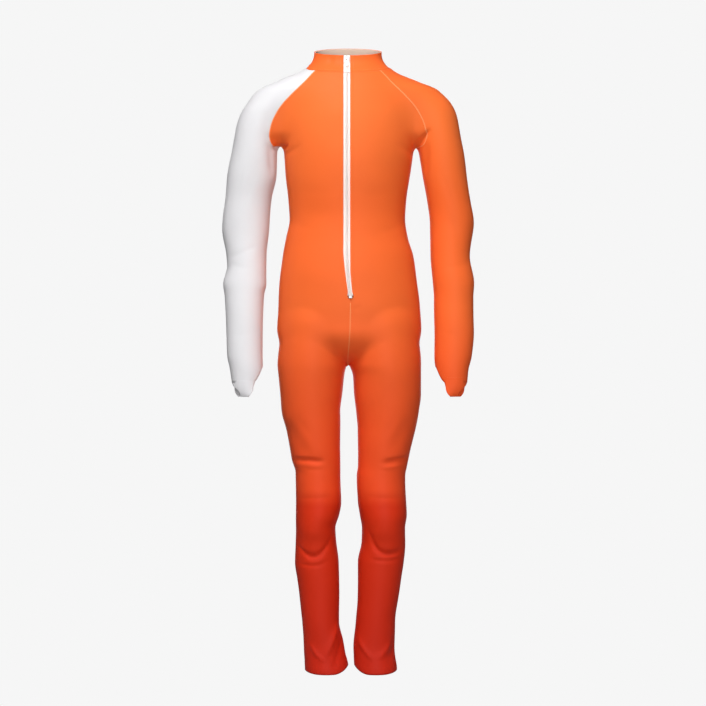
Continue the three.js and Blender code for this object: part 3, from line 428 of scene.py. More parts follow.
def fan_point(fan, angle):
    centre, outside, inward, _, facing = fan
    across = np.cos(angle)[..., None]
    direction = np.where(across > 0, outside, inward) * np.abs(across)
    direction = direction + np.sin(angle)[..., None] * np.array([0, facing, 0])
    return cast(centre, direction / np.linalg.norm(direction, axis=-1, keepdims=True))


def fan_seam_angle(fan):
    low, high = math.pi / 2, math.pi - 0.0005
    for _ in range(3):
        angles = np.linspace(low, high, 80)
        short = (fan_point(fan, angles) - fan[0]) @ fan[2] < fan[3]
        last = max(int(short.argmin()) - 1, 0)
        low, high = angles[last], angles[last + 1]
    return low


def lowest_inside(x, low, high):
    for _ in range(3):
        heights = np.linspace(low, high, 100)
        points = np.stack([0 * heights + x, 0 * heights, heights], axis=-1)
        first = max(int((body_value(points) < 0).argmax()), 1)
        low, high = heights[first - 1], heights[first]
    return high


def armpit_point(side):
    inner = look_up(RIGHT_ARM if side < 0 else LEFT_ARM, ARMPIT)[1]
    x = side * (inner + look_up(TRUNK, ARMPIT)[0 if side < 0 else 1]) / 2
    return np.array([x, 0.0, lowest_inside(x, ARMPIT - 30, ARMPIT + 40)])


def raglan_points(side, facing):
    points = [neck_point(np.array([neck_seam_angle(side, facing)]))[0]]
    for step in range(1, RAGLAN_STEPS):
        fan = raglan_fan(float(step), side, facing)
        points.append(fan_point(fan, np.array([fan_seam_angle(fan)]))[0])
    return points + [armpit_point(side)]


def spaced(points, middles):
    """A traced row with close columns beside both seams and even ones between."""
    reach = np.concatenate([[0], np.cumsum(np.linalg.norm(np.diff(points, axis=0), axis=1))])
    near = np.array(EDGE_COLUMNS)
    inside = np.linspace(near[-1], reach[-1] - near[-1], middles + 2)[1:-1]
    at = np.concatenate([near, inside, reach[-1] - near[::-1]])
    return np.stack([np.interp(at, reach, points[:, axis]) for axis in range(3)], axis=1)


def filled_rows(rows, even, step=FINE_STEP):
    """Finer rows between the cut's own ones, on a curve through them."""
    rows = np.array(rows)
    gaps = np.linalg.norm(np.diff(rows, axis=0), axis=2).mean(axis=1)
    keys = np.arange(len(rows), dtype=float) if even else np.concatenate([[0], np.cumsum(gaps)])
    slope = np.diff(rows, axis=0) / np.diff(keys)[:, None, None]
    wide = np.diff(keys)[:, None, None]
    inside = (slope[:-1] * wide[1:] + slope[1:] * wide[:-1]) / (wide[:-1] + wide[1:])
    bend = np.concatenate([slope[:1], inside, slope[-1:]])
    filled = []
    for i in range(len(rows) - 1):
        count = 6 if even else max(1, round(gaps[i] / step))
        for t in np.arange(count) / count:
            span = keys[i + 1] - keys[i]
            curve = (2 * t**3 - 3 * t**2 + 1) * rows[i] + (3 * t**2 - 2 * t**3) * rows[i + 1]
            filled.append(curve + span * ((t**3 - 2 * t**2 + t) * bend[i] + (t**3 - t**2) * bend[i + 1]))
    return np.array(filled + [rows[-1]])


def centre_x(z, side, facing):
    if facing > 0:
        return np.full(np.shape(z), side * SEAM_GAP)
    beside_zip = mixed(ZIP_GAP["low"], ZIP_GAP["high"], smooth((z - ZIP_GAP["from"]) / ZIP_GAP["over"]))
    return look_up(CENTRE, z)[0] + side * np.where(z < ZIP_BOTTOM, SEAM_GAP, beside_zip)


def crotch_height():
    return lowest_inside(0.0, -600.0, -500.0)


def panel_grid(side, facing):
    """Points of a front or back: rows from the centre line or inseam to the raglan or side seam."""
    crotch = crotch_height()
    u = np.linspace(0, 1, 64)
    upper = []
    for step, end in enumerate(raglan_points(side, facing)):
        tilt, middle = RAGLAN[step, 5], RAGLAN[step, 6]
        start = point_across(centre_x(middle, side, facing), middle, tilt, facing)
        angle = mixed(math.atan2(start[1], side * start[0]), math.atan2(end[1], side * end[0]), u)
        height = mixed(middle, end[2] - tilt * end[1], u)
        origin = np.stack([0 * u, 0 * u, height], axis=-1)
        direction = np.stack([side * np.cos(angle), np.sin(angle), tilt * np.sin(angle)], axis=-1)
        points = cast(origin, direction)
        points[0], points[-1] = start, end
        upper.append(spaced(points, PANEL_MIDDLES))
    lower = [upper[-1]]
    for z in TRUNK_ROWS + [crotch + drop for drop in CROTCH_DROPS] + [crotch - 1] + LEG_ROWS:
        outer, inner = look_up(RIGHT_LEG if side < 0 else LEFT_LEG, z)[:2]
        axis = side * mixed(0, (outer + inner) / 2, smooth((-360 - z) / 170))
        above = z > crotch
        plane = float(centre_x(z, side, facing)) if above else side * SEAM_GAP
        first = facing * math.pi
        if above:
            start = point_across(plane, z, 0, facing)
            first = math.atan2(start[1], side * (start[0] - axis))
        angle = mixed(first, 0, u)
        rise = HEM["inner"] * (1 - smooth(u / 0.4)) + HEM["outer"] * smooth((u - 0.6) / 0.4)
        height = z + smooth((-1080 - z) / 57) * (rise + (HEM["back"] if facing > 0 else 0))
        origin = np.stack([0 * u + axis, 0 * u, height], axis=-1)
        direction = np.stack([side * np.cos(angle), np.sin(angle), 0 * u], axis=-1)
        lower.append(spaced(cast(origin, direction, side if z < ZIP_BOTTOM else 0, plane), PANEL_MIDDLES))
    grid = np.concatenate([filled_rows(upper, True)[:-1], filled_rows(lower, False)])
    own = settled(grid)
    plane = np.where(grid[..., 2] > crotch, centre_x(grid[..., 2], side, facing), side * SEAM_GAP)
    own[..., 0] = side * np.maximum(side * own[..., 0], side * plane)
    return own


def fold_depth(p):
    depth = np.zeros(p.shape[:-1])
    for sharp, rows in ((2, FOLDS), (1.6, CREASES)):
        for x, z, angle, length, width, deep, side, rise in rows:
            c, s = math.cos(math.radians(angle)), math.sin(math.radians(angle))
            along = (p[..., 0] - x) * c + (p[..., 2] - z) * s
            across = (p[..., 2] - z) * c - (p[..., 0] - x) * s - rise * (along / length) ** 2
            facing = smooth(side * p[..., 1] / 18)
            reach = smooth(1.35 - np.abs(along) / length)
            depth += deep * facing * reach * np.exp(-(np.abs(across / width) ** sharp))
    x, y, z = p[..., 0], p[..., 1], p[..., 2]
    uneven = np.sin(x / 23 + 1.3 * np.sin(z / 41)) * np.sin(z / 31 + y / 27) + 0.5 * np.sin(z / 13 + x / 19)
    return depth + UNEVENNESS * uneven


def seam_relief(columns):
    """Height of the cloth beside a seam: the turned-in allowance stands out, the seam itself sinks."""
    near = np.minimum(columns, columns[::-1])
    raised = SEAM_RELIEF["raise"] * (1 - smooth((near - SEAM_RELIEF["from"]) / SEAM_RELIEF["over"]))
    return raised - SEAM_RELIEF["groove"] * np.exp(-((near / SEAM_RELIEF["half_width"]) ** 2))


def dressed(grid, hem=0.0):
    """The grid with its folds pressed in and its edges sewn, and its normals."""
    normals = outward(grid)
    count = grid.shape[1]
    distances = np.full(count, 99.0)
    distances[: len(EDGE_COLUMNS)] = EDGE_COLUMNS
    distances[-len(EDGE_COLUMNS):] = EDGE_COLUMNS[::-1]
    lift = -fold_depth(grid) + seam_relief(distances)[None, :]
    if hem:
        up = np.linalg.norm(np.diff(grid, axis=0), axis=2)[::-1].cumsum(axis=0)[::-1]
        up = np.vstack([up, np.zeros((1, count))])
        raised = HEM_RELIEF["raise"] * (1 - smooth((up - hem) / HEM_RELIEF["over"]))
        lift += raised - HEM_RELIEF["groove"] * np.exp(-(((up - hem) / HEM_RELIEF["half_width"]) ** 2))
    return grid + normals * lift[..., None], normals


def shell(name, outer, normals, wall):
    """A thin wall of cloth with closed edges, from a grid in millimetres."""
    rows, columns = outer.shape[:2]
    inner = outer - normals * wall
    points = np.concatenate([outer.reshape(-1, 3), inner.reshape(-1, 3)]) / 1000
    index = np.arange(rows * columns).reshape(rows, columns)
    under = index + rows * columns
    face = lambda a: np.stack([a[:-1, :-1], a[1:, :-1], a[1:, 1:], a[:-1, 1:]], axis=-1).reshape(-1, 4)
    faces = [face(index), face(under)[:, ::-1]]
    rims = [(index[0], under[0]), (under[-1], index[-1])]
    rims += [(under[:, 0], index[:, 0]), (index[:, -1], under[:, -1])]
    for a, b in rims:
        faces.append(np.stack([a[:-1], a[1:], b[1:], b[:-1]], axis=-1))
    faces = np.concatenate(faces)
    across = np.cross(outer[1, 0] - outer[0, 0], outer[0, 1] - outer[0, 0])
    if across @ normals[0, 0] < 0:
        faces = faces[:, ::-1]
    mesh = bpy.data.meshes.new(name)
    mesh.from_pydata(points.tolist(), [], faces.tolist())
    mesh.polygons.foreach_set("use_smooth", np.arange(len(faces)) < 2 * (rows - 1) * (columns - 1))
    mesh.validate()
    made = bpy.data.objects.new(name, mesh)
    bpy.context.collection.objects.link(made)
    return made


def knit_group():
    """The fine face of stretch laminate: a small rib and a little unevenness in the colour."""
    group = bpy.data.node_groups.new("laminate_face", "ShaderNodeTree")
    group.interface.new_socket("Rib Scale", in_out="INPUT", socket_type="NodeSocketFloat").default_value = 900
    group.interface.new_socket("Height", in_out="OUTPUT", socket_type="NodeSocketFloat")
    group.interface.new_socket("Shade", in_out="OUTPUT", socket_type="NodeSocketFloat")
    nodes, links = group.nodes, group.links
    inside, out = nodes.new("NodeGroupInput"), nodes.new("NodeGroupOutput")
    place = nodes.new("ShaderNodeTexCoord")
    rib = nodes.new("ShaderNodeTexVoronoi")
    cloud = nodes.new("ShaderNodeTexNoise")
    cloud.inputs["Scale"].default_value = 9.0
    cloud.inputs["Detail"].default_value = 3.0
    links.new(place.outputs["Object"], rib.inputs["Vector"])
    links.new(place.outputs["Object"], cloud.inputs["Vector"])
    links.new(inside.outputs["Rib Scale"], rib.inputs["Scale"])
    links.new(rib.outputs["Distance"], out.inputs["Height"])
    links.new(cloud.outputs["Fac"], out.inputs["Shade"])
    return group


LAMINATE_FACE = knit_group()
COLOUR_FOOT, COLOUR_TOP = -1.15, 0.05


def cloth_finish(name, stops, roughness, sheen, bump=0.05, rib=900.0):
    """Laminate whose colour runs down the suit through the given stops of height in metres."""
    made = bpy.data.materials.new(name)
    made.use_nodes = True
    nodes, links = made.node_tree.nodes, made.node_tree.links
    cloth = nodes["Principled BSDF"]
    cloth.inputs["Roughness"].default_value = roughness
    cloth.inputs["Sheen Weight"].default_value = sheen
    cloth.inputs["Sheen Roughness"].default_value = 0.4
    cloth.inputs["Specular IOR Level"].default_value = 0.14
    place = nodes.new("ShaderNodeTexCoord")
    split = nodes.new("ShaderNodeSeparateXYZ")
    height = nodes.new("ShaderNodeMapRange")
    height.inputs["From Min"].default_value = COLOUR_FOOT
    height.inputs["From Max"].default_value = COLOUR_TOP
    ramp = nodes.new("ShaderNodeValToRGB")
    for i, (z, colour) in enumerate(stops):
        at = (z - COLOUR_FOOT) / (COLOUR_TOP - COLOUR_FOOT)
        stop = ramp.color_ramp.elements[i] if i < 2 else ramp.color_ramp.elements.new(at)
        stop.position = at
        stop.color = (*colour, 1)
    face = nodes.new("ShaderNodeGroup")
    face.node_tree = LAMINATE_FACE
    face.inputs["Rib Scale"].default_value = rib
    tone = nodes.new("ShaderNodeMapRange")
    tone.inputs["To Min"].default_value = 0.95
    tone.inputs["To Max"].default_value = 1.04
    shade = nodes.new("ShaderNodeVectorMath")
    shade.operation = "SCALE"
    relief = nodes.new("ShaderNodeBump")
    relief.inputs["Strength"].default_value = bump
    relief.inputs["Distance"].default_value = 0.0004
    links.new(place.outputs["Object"], split.inputs[0])
    links.new(split.outputs["Z"], height.inputs["Value"])
    links.new(height.outputs["Result"], ramp.inputs["Fac"])
    links.new(face.outputs["Shade"], tone.inputs["Value"])
    links.new(ramp.outputs["Color"], shade.inputs[0])
    links.new(tone.outputs["Result"], shade.inputs["Scale"])
    links.new(shade.outputs[0], cloth.inputs["Base Color"])
    links.new(face.outputs["Height"], relief.inputs["Height"])
    links.new(relief.outputs["Normal"], cloth.inputs["Normal"])
    return made


# The orange darkens and reddens from the chest down to the ankles, with a sharp step just below the knee: partly
# the laminate's own colour and partly painted shade where less light reaches the legs. The brighter, yellower stop
# at the shoulders is a painted highlight.
ORANGE_LAMINATE = cloth_finish(
    "orange_laminate",
    [(-1.14, (0.66, 0.024, 0.008)), (0.03, (0.96, 0.145, 0.026)), (-0.822, (0.74, 0.036, 0.007)),
     (-0.79, (0.92, 0.080, 0.018)), (-0.6, (0.97, 0.118, 0.025)), (-0.45, (0.96, 0.155, 0.031)),
     (-0.25, (0.93, 0.145, 0.027)), (-0.09, (0.95, 0.180, 0.036))],
    0.55, 0.0,
)

GRIDS = {}


def cloth_piece(name, grid, finish, hem=0.0):
    """One cut of cloth: shell, finish and what the frame has to know of it."""
    outer, normals = dressed(grid, hem)
    GRIDS[name] = (outer, normals)
    piece = shell(name, outer, normals, CLOTH)
    piece.data.materials.append(finish)
    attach(piece, "suit")
    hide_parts(name.replace("cloth_", ""))
    return piece


for side, word in ((-1, "right"), (1, "left")):
    cloth_piece(f"cloth_front_{word}", panel_grid(side, -1), ORANGE_LAMINATE,
                hem=14.0)

# Back panels, right and left: the same laminate, joined at the centre back down to the crotch, a little
# longer than the fronts over the seat and hemmed with them at the ankle.
for side, word in ((-1, "right"), (1, "left")):
    cloth_piece(f"cloth_back_{word}", panel_grid(side, 1), ORANGE_LAMINATE,
                hem=14.0)

# Sleeves: one-piece raglan sleeves of the same laminate, white on the wearer's right and orange on the left,
# closed by an underarm seam. The cuff's cut runs out into a tongue over the back of the hand.
WRIST = -540.0
CUFF = {"palm": -560.0, "tongue": -590.0, "turn": 26.0, "half": 56.0, "ramp": 58.0}
ARM_ROWS = [-166, -186, -212, -244, -275, -302, -326, -350, -372, -390, -404, -420, -450, -495, WRIST]
CUFF_SHARES = [0.35, 0.7, 1]
SLEEVE_MIDDLES = 72
# The white is greyer at the shoulder and paler toward the cuff: painted shade at the top and painted light at the
# cuff, while the cloth itself is one even white.
WHITE_LAMINATE = cloth_finish(
    "white_laminate", [(-1.14, (0.92, 0.905, 0.925)), (-0.1, (0.74, 0.73, 0.745))], 0.58, 0.0,
)


def sleeve_grid(side):
    arm = RIGHT_ARM if side < 0 else LEFT_ARM
    u = np.linspace(0, 1, 90)
    neck_to = neck_seam_angle(side, 1) - (2 * math.pi if side < 0 else 0)
    upper = [spaced(neck_point(mixed(neck_seam_angle(side, -1), neck_to, u)), SLEEVE_MIDDLES)]
    for step in range(1, RAGLAN_STEPS):
        front, back = raglan_fan(float(step), side, -1), raglan_fan(float(step), side, 1)
        angle = mixed(fan_seam_angle(front), -fan_seam_angle(back), u)
        over = angle > 0
        points = np.concatenate([fan_point(front, angle[over]), fan_point(back, -angle[~over])])
        upper.append(spaced(points, SLEEVE_MIDDLES))

    def ring(heights):
        outer, inner, forward, _ = look_up(arm, heights)
        turn = 2 * math.pi * u
        centre = np.stack([side * (outer + inner) / 2, -forward, heights], axis=-1)
        return cast(centre, np.stack([-side * np.cos(turn), -np.sin(turn), 0 * u], axis=-1))

    armpit = armpit_point(side)
    first = ring(mixed(armpit[2], ARMPIT - 3, np.sin(math.pi * u)))
    first[0] = first[-1] = armpit
    upper.append(spaced(first, SLEEVE_MIDDLES))
    lower = [upper[-1]] + [spaced(ring(0 * u + z), SLEEVE_MIDDLES) for z in ARM_ROWS]
    away = np.abs(360 * u - 90 - CUFF["turn"])
    edge = mixed(CUFF["tongue"], CUFF["palm"], smooth((away - CUFF["half"]) / CUFF["ramp"]))
    lower += [spaced(ring(mixed(WRIST, edge, share)), SLEEVE_MIDDLES) for share in CUFF_SHARES]
    return settled(np.concatenate([filled_rows(upper, True)[:-1], filled_rows(lower, False)]))


ARMS = [(-1, "right", WHITE_LAMINATE, "white_laminate"), (1, "left", ORANGE_LAMINATE, "orange_laminate")]
for side, word, finish, slot in ARMS:
    cloth_piece(f"cloth_sleeve_{word}", sleeve_grid(side), finish)

# Finger loops: the tip of each tongue turned back and sewn behind itself, so that the middle finger goes
# through. The piece starts 4 mm up on its sleeve and lies a little over it. Each row is its step, drop below
# the tongue's end, depth behind its face, reach out and in, and bow.
LOOP = np.array([
    (0, -4, -0.25, 26, 25, 1), (1, 7, 0.2, 14, 23.5, 0.9), (2, 14, 1.2, 4, 23, 0.75), (3, 20.5, 3, 0, 21, 0.5),
    (4, 25.5, 6, 1.5, 15, 0.25), (5, 26, 9, 7, 14, 0.2), (6, 20, 13, 15.5, 17, 0.25),
    (7, 12, 14, 19, 18, 0.4), (8, 3, 10, 20, 18, 0.7), (9, -5, 3.7, 18, 18, 0.9),
], float)
LOOP_FINE_ROWS = 55
LOOP_FINE_COLUMNS = 28
LOOP_LEAST_SQUARE = 4


def tongue_facing(side):
    turn = math.radians(90 + CUFF["turn"])
    return np.array([-side * math.cos(turn), -math.sin(turn), 0])


def loop_grid(side):
    outer, inner, forward, _ = look_up(RIGHT_ARM if side < 0 else LEFT_ARM, CUFF["tongue"])
    reach = float((outer - inner) / 2)
    out = tongue_facing(side)
    across = np.array([side * out[1], -side * out[0], 0])
    centre = np.array([side * float(outer + inner) / 2, -float(forward), CUFF["tongue"]])
    drop, inset, wide_out, wide_in, bow = look_up(LOOP, np.linspace(0, 9, LOOP_FINE_ROWS))[..., None]
    q = mixed(-wide_out, wide_in, np.linspace(0, 1, LOOP_FINE_COLUMNS))
    sag = reach - np.sqrt(np.maximum(reach**2 - q**2, LOOP_LEAST_SQUARE))
    return (centre + across * q[..., None] + out * (reach - inset - bow * sag)[..., None]
            - np.array([0, 0, 1]) * (drop + 0 * q)[..., None])


def grid_normals(grid, towards):
    normal = np.cross(np.gradient(grid, axis=0), np.gradient(grid, axis=1))
    normal /= np.maximum(np.linalg.norm(normal, axis=-1, keepdims=True), 1e-9)
    return normal if normal[0, grid.shape[1] // 2] @ towards > 0 else -normal


for side, word, finish, slot in ARMS:
    grid = loop_grid(side)
    normals = grid_normals(grid, tongue_facing(side))
    loop = shell(f"cloth_loop_{word}", grid, normals, CLOTH)
    loop.data.materials.append(finish)
    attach(loop, "suit")
    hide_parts(f"finger_loop_{word}")

# Collar: a stand collar of laminate sewn on the neck seam, folded over at its top edge, open in front for
# the zip, with a white lining inside that shows behind the neck.
COLLAR = {"rise": 28.0, "half_width": 64.0, "front": 51.0, "back": 50.0, "flare": 2.4}
CLEARANCE = 0.3
HALF_OPEN = 6.2
COLLAR_COLUMNS = 170
SOLID_WALL = 1.5
LINING_WALL = 1.0
SEWN = {"neck": 0.5, "half_width": 1.2, "edge": 0.3, "below_edge": 2.6}
COLLAR_DENT = {"angle": -2.18, "half_width": 0.1, "share": 0.62, "half_height": 0.3, "depth": 1.6}
WHITE_LINING = cloth_finish(
    "white_lining", [(-1.14, (0.62, 0.47, 0.38)), (0.03, (0.68, 0.52, 0.42))], 0.75, 0.05, bump=0.1, rib=700.0,
)


def collar_reach(angle, share):
    base = neck_point(angle, NECK_HEIGHT + CLEARANCE)
    start = np.hypot(base[..., 0], base[..., 1])
    deep = np.where(np.sin(angle) < 0, COLLAR["front"], COLLAR["back"])
    end = 1 / np.hypot(np.cos(angle) / COLLAR["half_width"], np.sin(angle) / deep)
    return end + (start - end) * (1 - share) ** COLLAR["flare"]


def collar_point(angle, share):
    reach = collar_reach(angle, share)
    forward = reach * np.sin(angle)
    height = NECK_HEIGHT + CLEARANCE + COLLAR["rise"] * share
    return np.stack([reach * np.cos(angle), forward, height + NECK_TILT * forward], axis=-1)


def collar_outward(angle, share):
    e = 0.01
    round_ = collar_point(angle + e, share) - collar_point(angle - e, share)
    up = collar_point(angle, np.minimum(share + e, 1)) - collar_point(angle, np.maximum(share - e, 0))
    own = np.cross(round_, up)
    own /= np.linalg.norm(own, axis=-1, keepdims=True)
    seam = outward(neck_point(angle, NECK_HEIGHT + CLEARANCE))
    normal = mixed(seam, own, smooth(share / 0.15)[..., None])
    return normal / np.linalg.norm(normal, axis=-1, keepdims=True)


def collar_angle(x, share):
    angle = np.full(np.broadcast(x, share).shape, -math.pi / 2)
    for _ in range(6):
        angle = -math.pi / 2 + np.arcsin(x / collar_reach(angle, share))
    return angle


def collar_grid(shares, skip):
    middle = float(look_up(CENTRE, NECK_HEIGHT)[0])
    share = np.array(shares)[::-1]
    start = collar_angle(middle - HALF_OPEN, share) + 2 * math.pi
    end = collar_angle(middle + HALF_OPEN, share)
    u = np.linspace(skip, 1 - skip, COLLAR_COLUMNS)
    angle = mixed(start[:, None], end[:, None], u)
    share = np.broadcast_to(share[:, None], angle.shape)
    points, normals = collar_point(angle, share), collar_outward(angle, share)
    round_ = (angle + math.pi) % (2 * math.pi) - math.pi
    dent = np.exp(-(((round_ - COLLAR_DENT["angle"]) / COLLAR_DENT["half_width"]) ** 2)
                  - ((share - COLLAR_DENT["share"]) / COLLAR_DENT["half_height"]) ** 2)
    ease = 0.5 * np.sin(3 * round_ + 0.7) * np.sin(math.pi * share)
    return points - normals * (COLLAR_DENT["depth"] * dent + ease)[..., None], normals, share


points, normals, share = collar_grid(np.linspace(0, 1, 26), 0)
neck_groove = SEWN["neck"] * np.exp(-((share * COLLAR["rise"] / SEWN["half_width"]) ** 2))
edge_groove = SEWN["edge"] * np.exp(-(((1 - share) * COLLAR["rise"] - SEWN["below_edge"]) ** 2))
points = points + normals * (-neck_groove - edge_groove)[..., None]
GRIDS["cloth_collar"] = (points, normals)
collar = shell("cloth_collar", points, normals, CLOTH)
collar.data.materials.append(ORANGE_LAMINATE)
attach(collar, "suit")
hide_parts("collar")

points, normals, share = collar_grid(np.linspace(0.02, 0.98, 22), 1 / 30)
inset = SOLID_WALL + CLEARANCE
lining = shell("cloth_lining", points - normals * inset, normals, LINING_WALL)
lining.data.materials.append(WHITE_LINING)
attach(lining, "suit")
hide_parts("collar_lining")

# Zip: a white coil zip from the top of the collar to the lower belly. Two woven tapes sewn behind the edges
# of the fronts, a coil of small teeth on each, a bottom stop, and a white metal slider with a pull.
TAPE_FROM, TAPE_TO, TAPE_DEPTH, TAPE_WALL = 0.2, 11.5, 2.1, 0.8
TOOTH = {"pitch": 1.3, "reach": 2.4, "cross": 0.5, "half_width": 0.42, "rise": 0.5, "depth": 0.3}
CORE = {"half_width": 2.2, "depth": 1.3, "wall": 0.5}
STOP_TOP = ZIP_BOTTOM + 5.3


def plain_finish(name, colour, roughness, metallic=0.0):
    made = bpy.data.materials.new(name)
    made.use_nodes = True
    shader = made.node_tree.nodes["Principled BSDF"]
    shader.inputs["Base Color"].default_value = (*colour, 1)
    shader.inputs["Roughness"].default_value = roughness
    shader.inputs["Metallic"].default_value = metallic
    return made


ZIP_TAPE = cloth_finish(
    "white_zip_tape", [(-1.14, (0.95, 0.85, 0.81)), (0.03, (1, 0.92, 0.88))], 0.7, 0.0, bump=0.3, rib=1400.0,
)
ZIP_COIL = plain_finish("white_zip_coil", (1, 0.92, 0.88), 0.3)
ZIP_METAL = plain_finish("zip_metal", (0.84, 0.79, 0.76), 0.4, 0.15)


def zip_face(offset, depth):
    """The cloth's face beside the zip's centre line, from the collar's top to the stop, a depth behind it."""
    middle = float(look_up(CENTRE, NECK_HEIGHT)[0])
    share = np.linspace(1, 0.02, 14)
    angle = collar_angle(middle + offset, share)
    points, normals = [collar_point(angle, share)], [collar_outward(angle, share)]
    steps = np.linspace(0, RAGLAN_STEPS, 55)
    tilt, height = look_up(RAGLAN, steps)[4:6]
    down = np.arange(height[-1] - 3, STOP_TOP, -3.0)
    height = np.concatenate([height, down, [STOP_TOP]])
    tilt = np.concatenate([tilt, 0 * down, [0]])
    height[0] -= 1
    body = point_across(look_up(CENTRE, height)[0] + offset, height, tilt, -1)
    points, normals = np.concatenate(points + [body]), np.concatenate(normals + [outward(body)])
    return points - normals * depth, normals


def zip_strip(name, offsets, depth, wall, finish, node):
    faces = [zip_face(offset, depth) for offset in offsets]
    points = np.stack([face[0] for face in faces], axis=1)
    normals = np.stack([face[1] for face in faces], axis=1)
    strip = shell(name, points, normals, wall)
    strip.data.materials.append(finish)
    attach(strip, "suit")
    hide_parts(node)
    return strip


for side, word in ((-1, "right"), (1, "left")):
    offsets = [side * offset for offset in np.linspace(TAPE_FROM, TAPE_TO, 9)]
    tape = zip_strip(f"zip_tape_cloth_{word}", offsets, TAPE_DEPTH, TAPE_WALL, ZIP_TAPE,
                     f"zip_tape_{word}")


def even_points(points, normals, pitch, start=0.0):
    reach = np.concatenate([[0], np.cumsum(np.linalg.norm(np.diff(points, axis=0), axis=1))])
    at = np.arange(start, reach[-1], pitch)
    pick = lambda values: np.stack([np.interp(at, reach, values[:, axis]) for axis in range(3)], axis=1)
    normal = pick(normals)
    return pick(points), normal / np.linalg.norm(normal, axis=1, keepdims=True)


def unit(v):
    return v / np.maximum(np.linalg.norm(v, axis=-1, keepdims=True), 1e-9)


def mesh_object(name, points, faces, finish):
    mesh = bpy.data.meshes.new(name)
    mesh.from_pydata((points / 1000).tolist(), [], faces)
    mesh.shade_smooth()
    mesh.materials.append(finish)
    made = bpy.data.objects.new(name, mesh)
    bpy.context.collection.objects.link(made)
    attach(made, "suit")
    return made


def zip_teeth():
    """Each tooth is a small bar across the zip, round on top, from one side past the middle."""
    face, normals = zip_face(0.0, TAPE_DEPTH - TOOTH["depth"] - 1.0)
    points, faces = [], []
    stations = [(0.0, 0.35), (0.25, 1.0), (0.7, 1.0), (1.0, 0.35)]
    around = 6
    for side in (-1, 1):
        places, out = even_points(face, normals, TOOTH["pitch"], TOOTH["pitch"] * (0.5 if side > 0 else 0))
        along = unit(np.gradient(places, axis=0))
        wide = unit(np.cross(along, out))
        wide *= np.sign(wide[:, :1])
        for p, n, a, w in zip(places, out, along, wide):
            base = len(points)
            for share, girth in stations:
                middle = p + side * w * mixed(-TOOTH["cross"], TOOTH["reach"], share)
                for k in range(around):
                    turn = 2 * math.pi * k / around
                    points.append(middle + a * TOOTH["half_width"] * girth * math.cos(turn)
                                  + n * TOOTH["rise"] * girth * math.sin(turn))
            for r in range(len(stations) - 1):
                for k in range(around):
                    i, j = base + r * around + k, base + r * around + (k + 1) % around
                    faces.append((i, j, j + around, i + around))
            faces.append(tuple(base + k for k in range(around))[::-1])
            faces.append(tuple(base + (len(stations) - 1) * around + k for k in range(around)))
    return np.array(points), faces


points, faces = zip_teeth()
mesh_object("zip_teeth", points, faces, ZIP_COIL)
core_offsets = np.linspace(-CORE["half_width"], CORE["half_width"], 5)
zip_strip("zip_core", core_offsets, CORE["depth"], CORE["wall"], ZIP_COIL, "zip_chain")

for node in ("zip_slider", "zip_pull", "zip_stop"):
    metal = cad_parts[node]
    metal.data.materials.clear()
    metal.data.materials.append(ZIP_METAL)
    rounding = metal.modifiers.new("rounded_edges", "BEVEL")
    rounding.width = 0.0003
    rounding.segments = 2
    rounding.limit_method = "ANGLE"

# Sewing: thread laid to and fro over the long seams of body, legs and sleeves, a row of stitches on either
# side of them, one beside the zip, and rows above the hems and cuffs and round the edges of the collar. The
# orange thread is paler than its cloth.
STITCH = {"length": 2.6, "gap": 0.7, "half_width": 0.22, "rise": 0.24, "end_sink": 0.1, "side_sink": 0.05}
COVER = {"pitch": 0.75, "height": 0.18, "section": [(-1.2, -0.35), (-0.7, 0.3), (0.7, 0.3), (1.2, -0.35)]}
# The thread follows the cloth down the suit, darker and redder toward the ankles: partly its own colour and partly
# the same painted shade as the laminate.
ORANGE_THREAD = cloth_finish(
    "orange_thread", [(-1.14, (0.72, 0.040, 0.014)), (-0.82, (0.80, 0.060, 0.02)), (-0.6, (0.98, 0.22, 0.07)),
     (-0.4, (1, 0.36, 0.14)), (0.03, (1, 0.34, 0.13))], 0.55, 0, bump=0.0,
)
WHITE_THREAD = plain_finish("white_thread", (0.80, 0.78, 0.80), 0.55)
EDGE_STITCH, COLLAR_STITCH = 3, 2
HEM_STITCH, CUFF_STITCH = 12.0, 9.0


def stitch_row(points, normals, store):
    places, out = even_points(points, normals, STITCH["length"] + STITCH["gap"], 0.6)
    along = unit(np.gradient(places, axis=0))
    wide = unit(np.cross(along, out))
    half, side_sink, end_sink = STITCH["length"] / 2, STITCH["side_sink"], STITCH["end_sink"]
    for p, n, a, w in zip(places, out, along, wide):
        base = len(store[0])
        store[0].extend([
            p - a * half - n * end_sink, p + w * STITCH["half_width"] - n * side_sink, p + n * STITCH["rise"],
            p - w * STITCH["half_width"] - n * side_sink, p + a * half - n * end_sink,
        ])
        for i, j in ((1, 2), (2, 3), (3, 1)):
            store[1].extend([(base, base + i, base + j), (base + 4, base + j, base + i)])


def seam_cover(places, normals, store):
    """Flat seam: thread laid to and fro over the two edges, so close that it hides the gap."""
    places, out = even_points(places, normals, COVER["pitch"], 0.5)
    along = unit(np.gradient(places, axis=0))
    wide = unit(np.cross(along, out))
    start, around = len(store[0]), len(COVER["section"])
    for i, (p, n, w) in enumerate(zip(places, out, wide)):
        lift = COVER["height"] * (i % 2)
        store[0].extend([p + w * x + n * (y + lift * (y > 0)) for x, y in COVER["section"]])
        if i:
            for k in range(around):
                a, b = start + (i - 1) * around + k, start + (i - 1) * around + (k + 1) % around
                store[1].append((a, b, b + around, a + around))
    store[1].append(tuple(start + k for k in range(around))[::-1])
    store[1].append(tuple(len(store[0]) - around + k for k in range(around)))


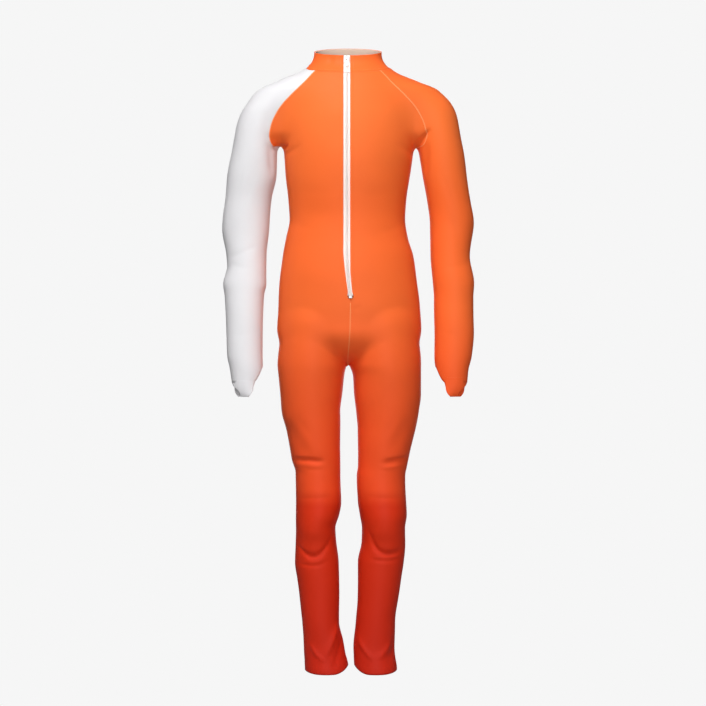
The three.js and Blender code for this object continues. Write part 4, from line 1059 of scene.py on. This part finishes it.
def across_row(grid, normals, distance):
    """A line at a distance up from the lowest row of a piece, column by column."""
    gaps = np.linalg.norm(np.diff(grid, axis=0), axis=2)[::-1].cumsum(axis=0)
    rows = len(grid) - 2 - (gaps < distance).sum(axis=0)
    rows = np.clip(rows, 0, len(grid) - 1)
    columns = np.arange(grid.shape[1])
    return grid[rows, columns], normals[rows, columns]


for word, thread, slot in (("right", WHITE_THREAD, "white_laminate"), ("left", ORANGE_THREAD, "orange_laminate")):
    store = ([], [])
    outer, normals = GRIDS[f"cloth_sleeve_{word}"]
    for column in (EDGE_STITCH, -1 - EDGE_STITCH):
        stitch_row(outer[:, column], normals[:, column], store)
    stitch_row(*across_row(outer, normals, CUFF_STITCH), store)
    below = outer[:, 0, 2] < ARMPIT - 8
    seam_cover(outer[below, 0], normals[below, 0], store)
    mesh_object(f"sleeve_stitches_{word}", np.array(store[0]), store[1], thread)

for word in ("right", "left"):
    store = ([], [])
    for panel in ("front", "back"):
        front = panel == "front"
        outer, normals = GRIDS[f"cloth_{panel}_{word}"]
        for column in (EDGE_STITCH, -1 - EDGE_STITCH):
            stitch_row(outer[:, column], normals[:, column], store)
        stitch_row(*across_row(outer, normals, HEM_STITCH), store)
        heights, edge = outer[:, 0, 2], outer[:, -1, 2]
        middle = (heights > crotch_height()) & (heights < (ZIP_BOTTOM - 5 if front else math.inf))
        lines = [(0, middle)] * (word == "right") + [(-1, edge > (-math.inf if front else ARMPIT))]
        lines += [(0, heights < crotch_height() - 3)] * front
        for column, kept in lines:
            seam_cover(outer[kept, column], normals[kept, column], store)
    mesh_object(f"panel_stitches_{word}", np.array(store[0]), store[1], ORANGE_THREAD)

store = ([], [])
outer, normals = GRIDS["cloth_collar"]
for row in (COLLAR_STITCH, -1 - COLLAR_STITCH):
    stitch_row(outer[row], normals[row], store)
for column in (EDGE_STITCH, -1 - EDGE_STITCH):
    stitch_row(outer[:, column], normals[:, column], store)
mesh_object("collar_stitches", np.array(store[0]), store[1], ORANGE_THREAD)
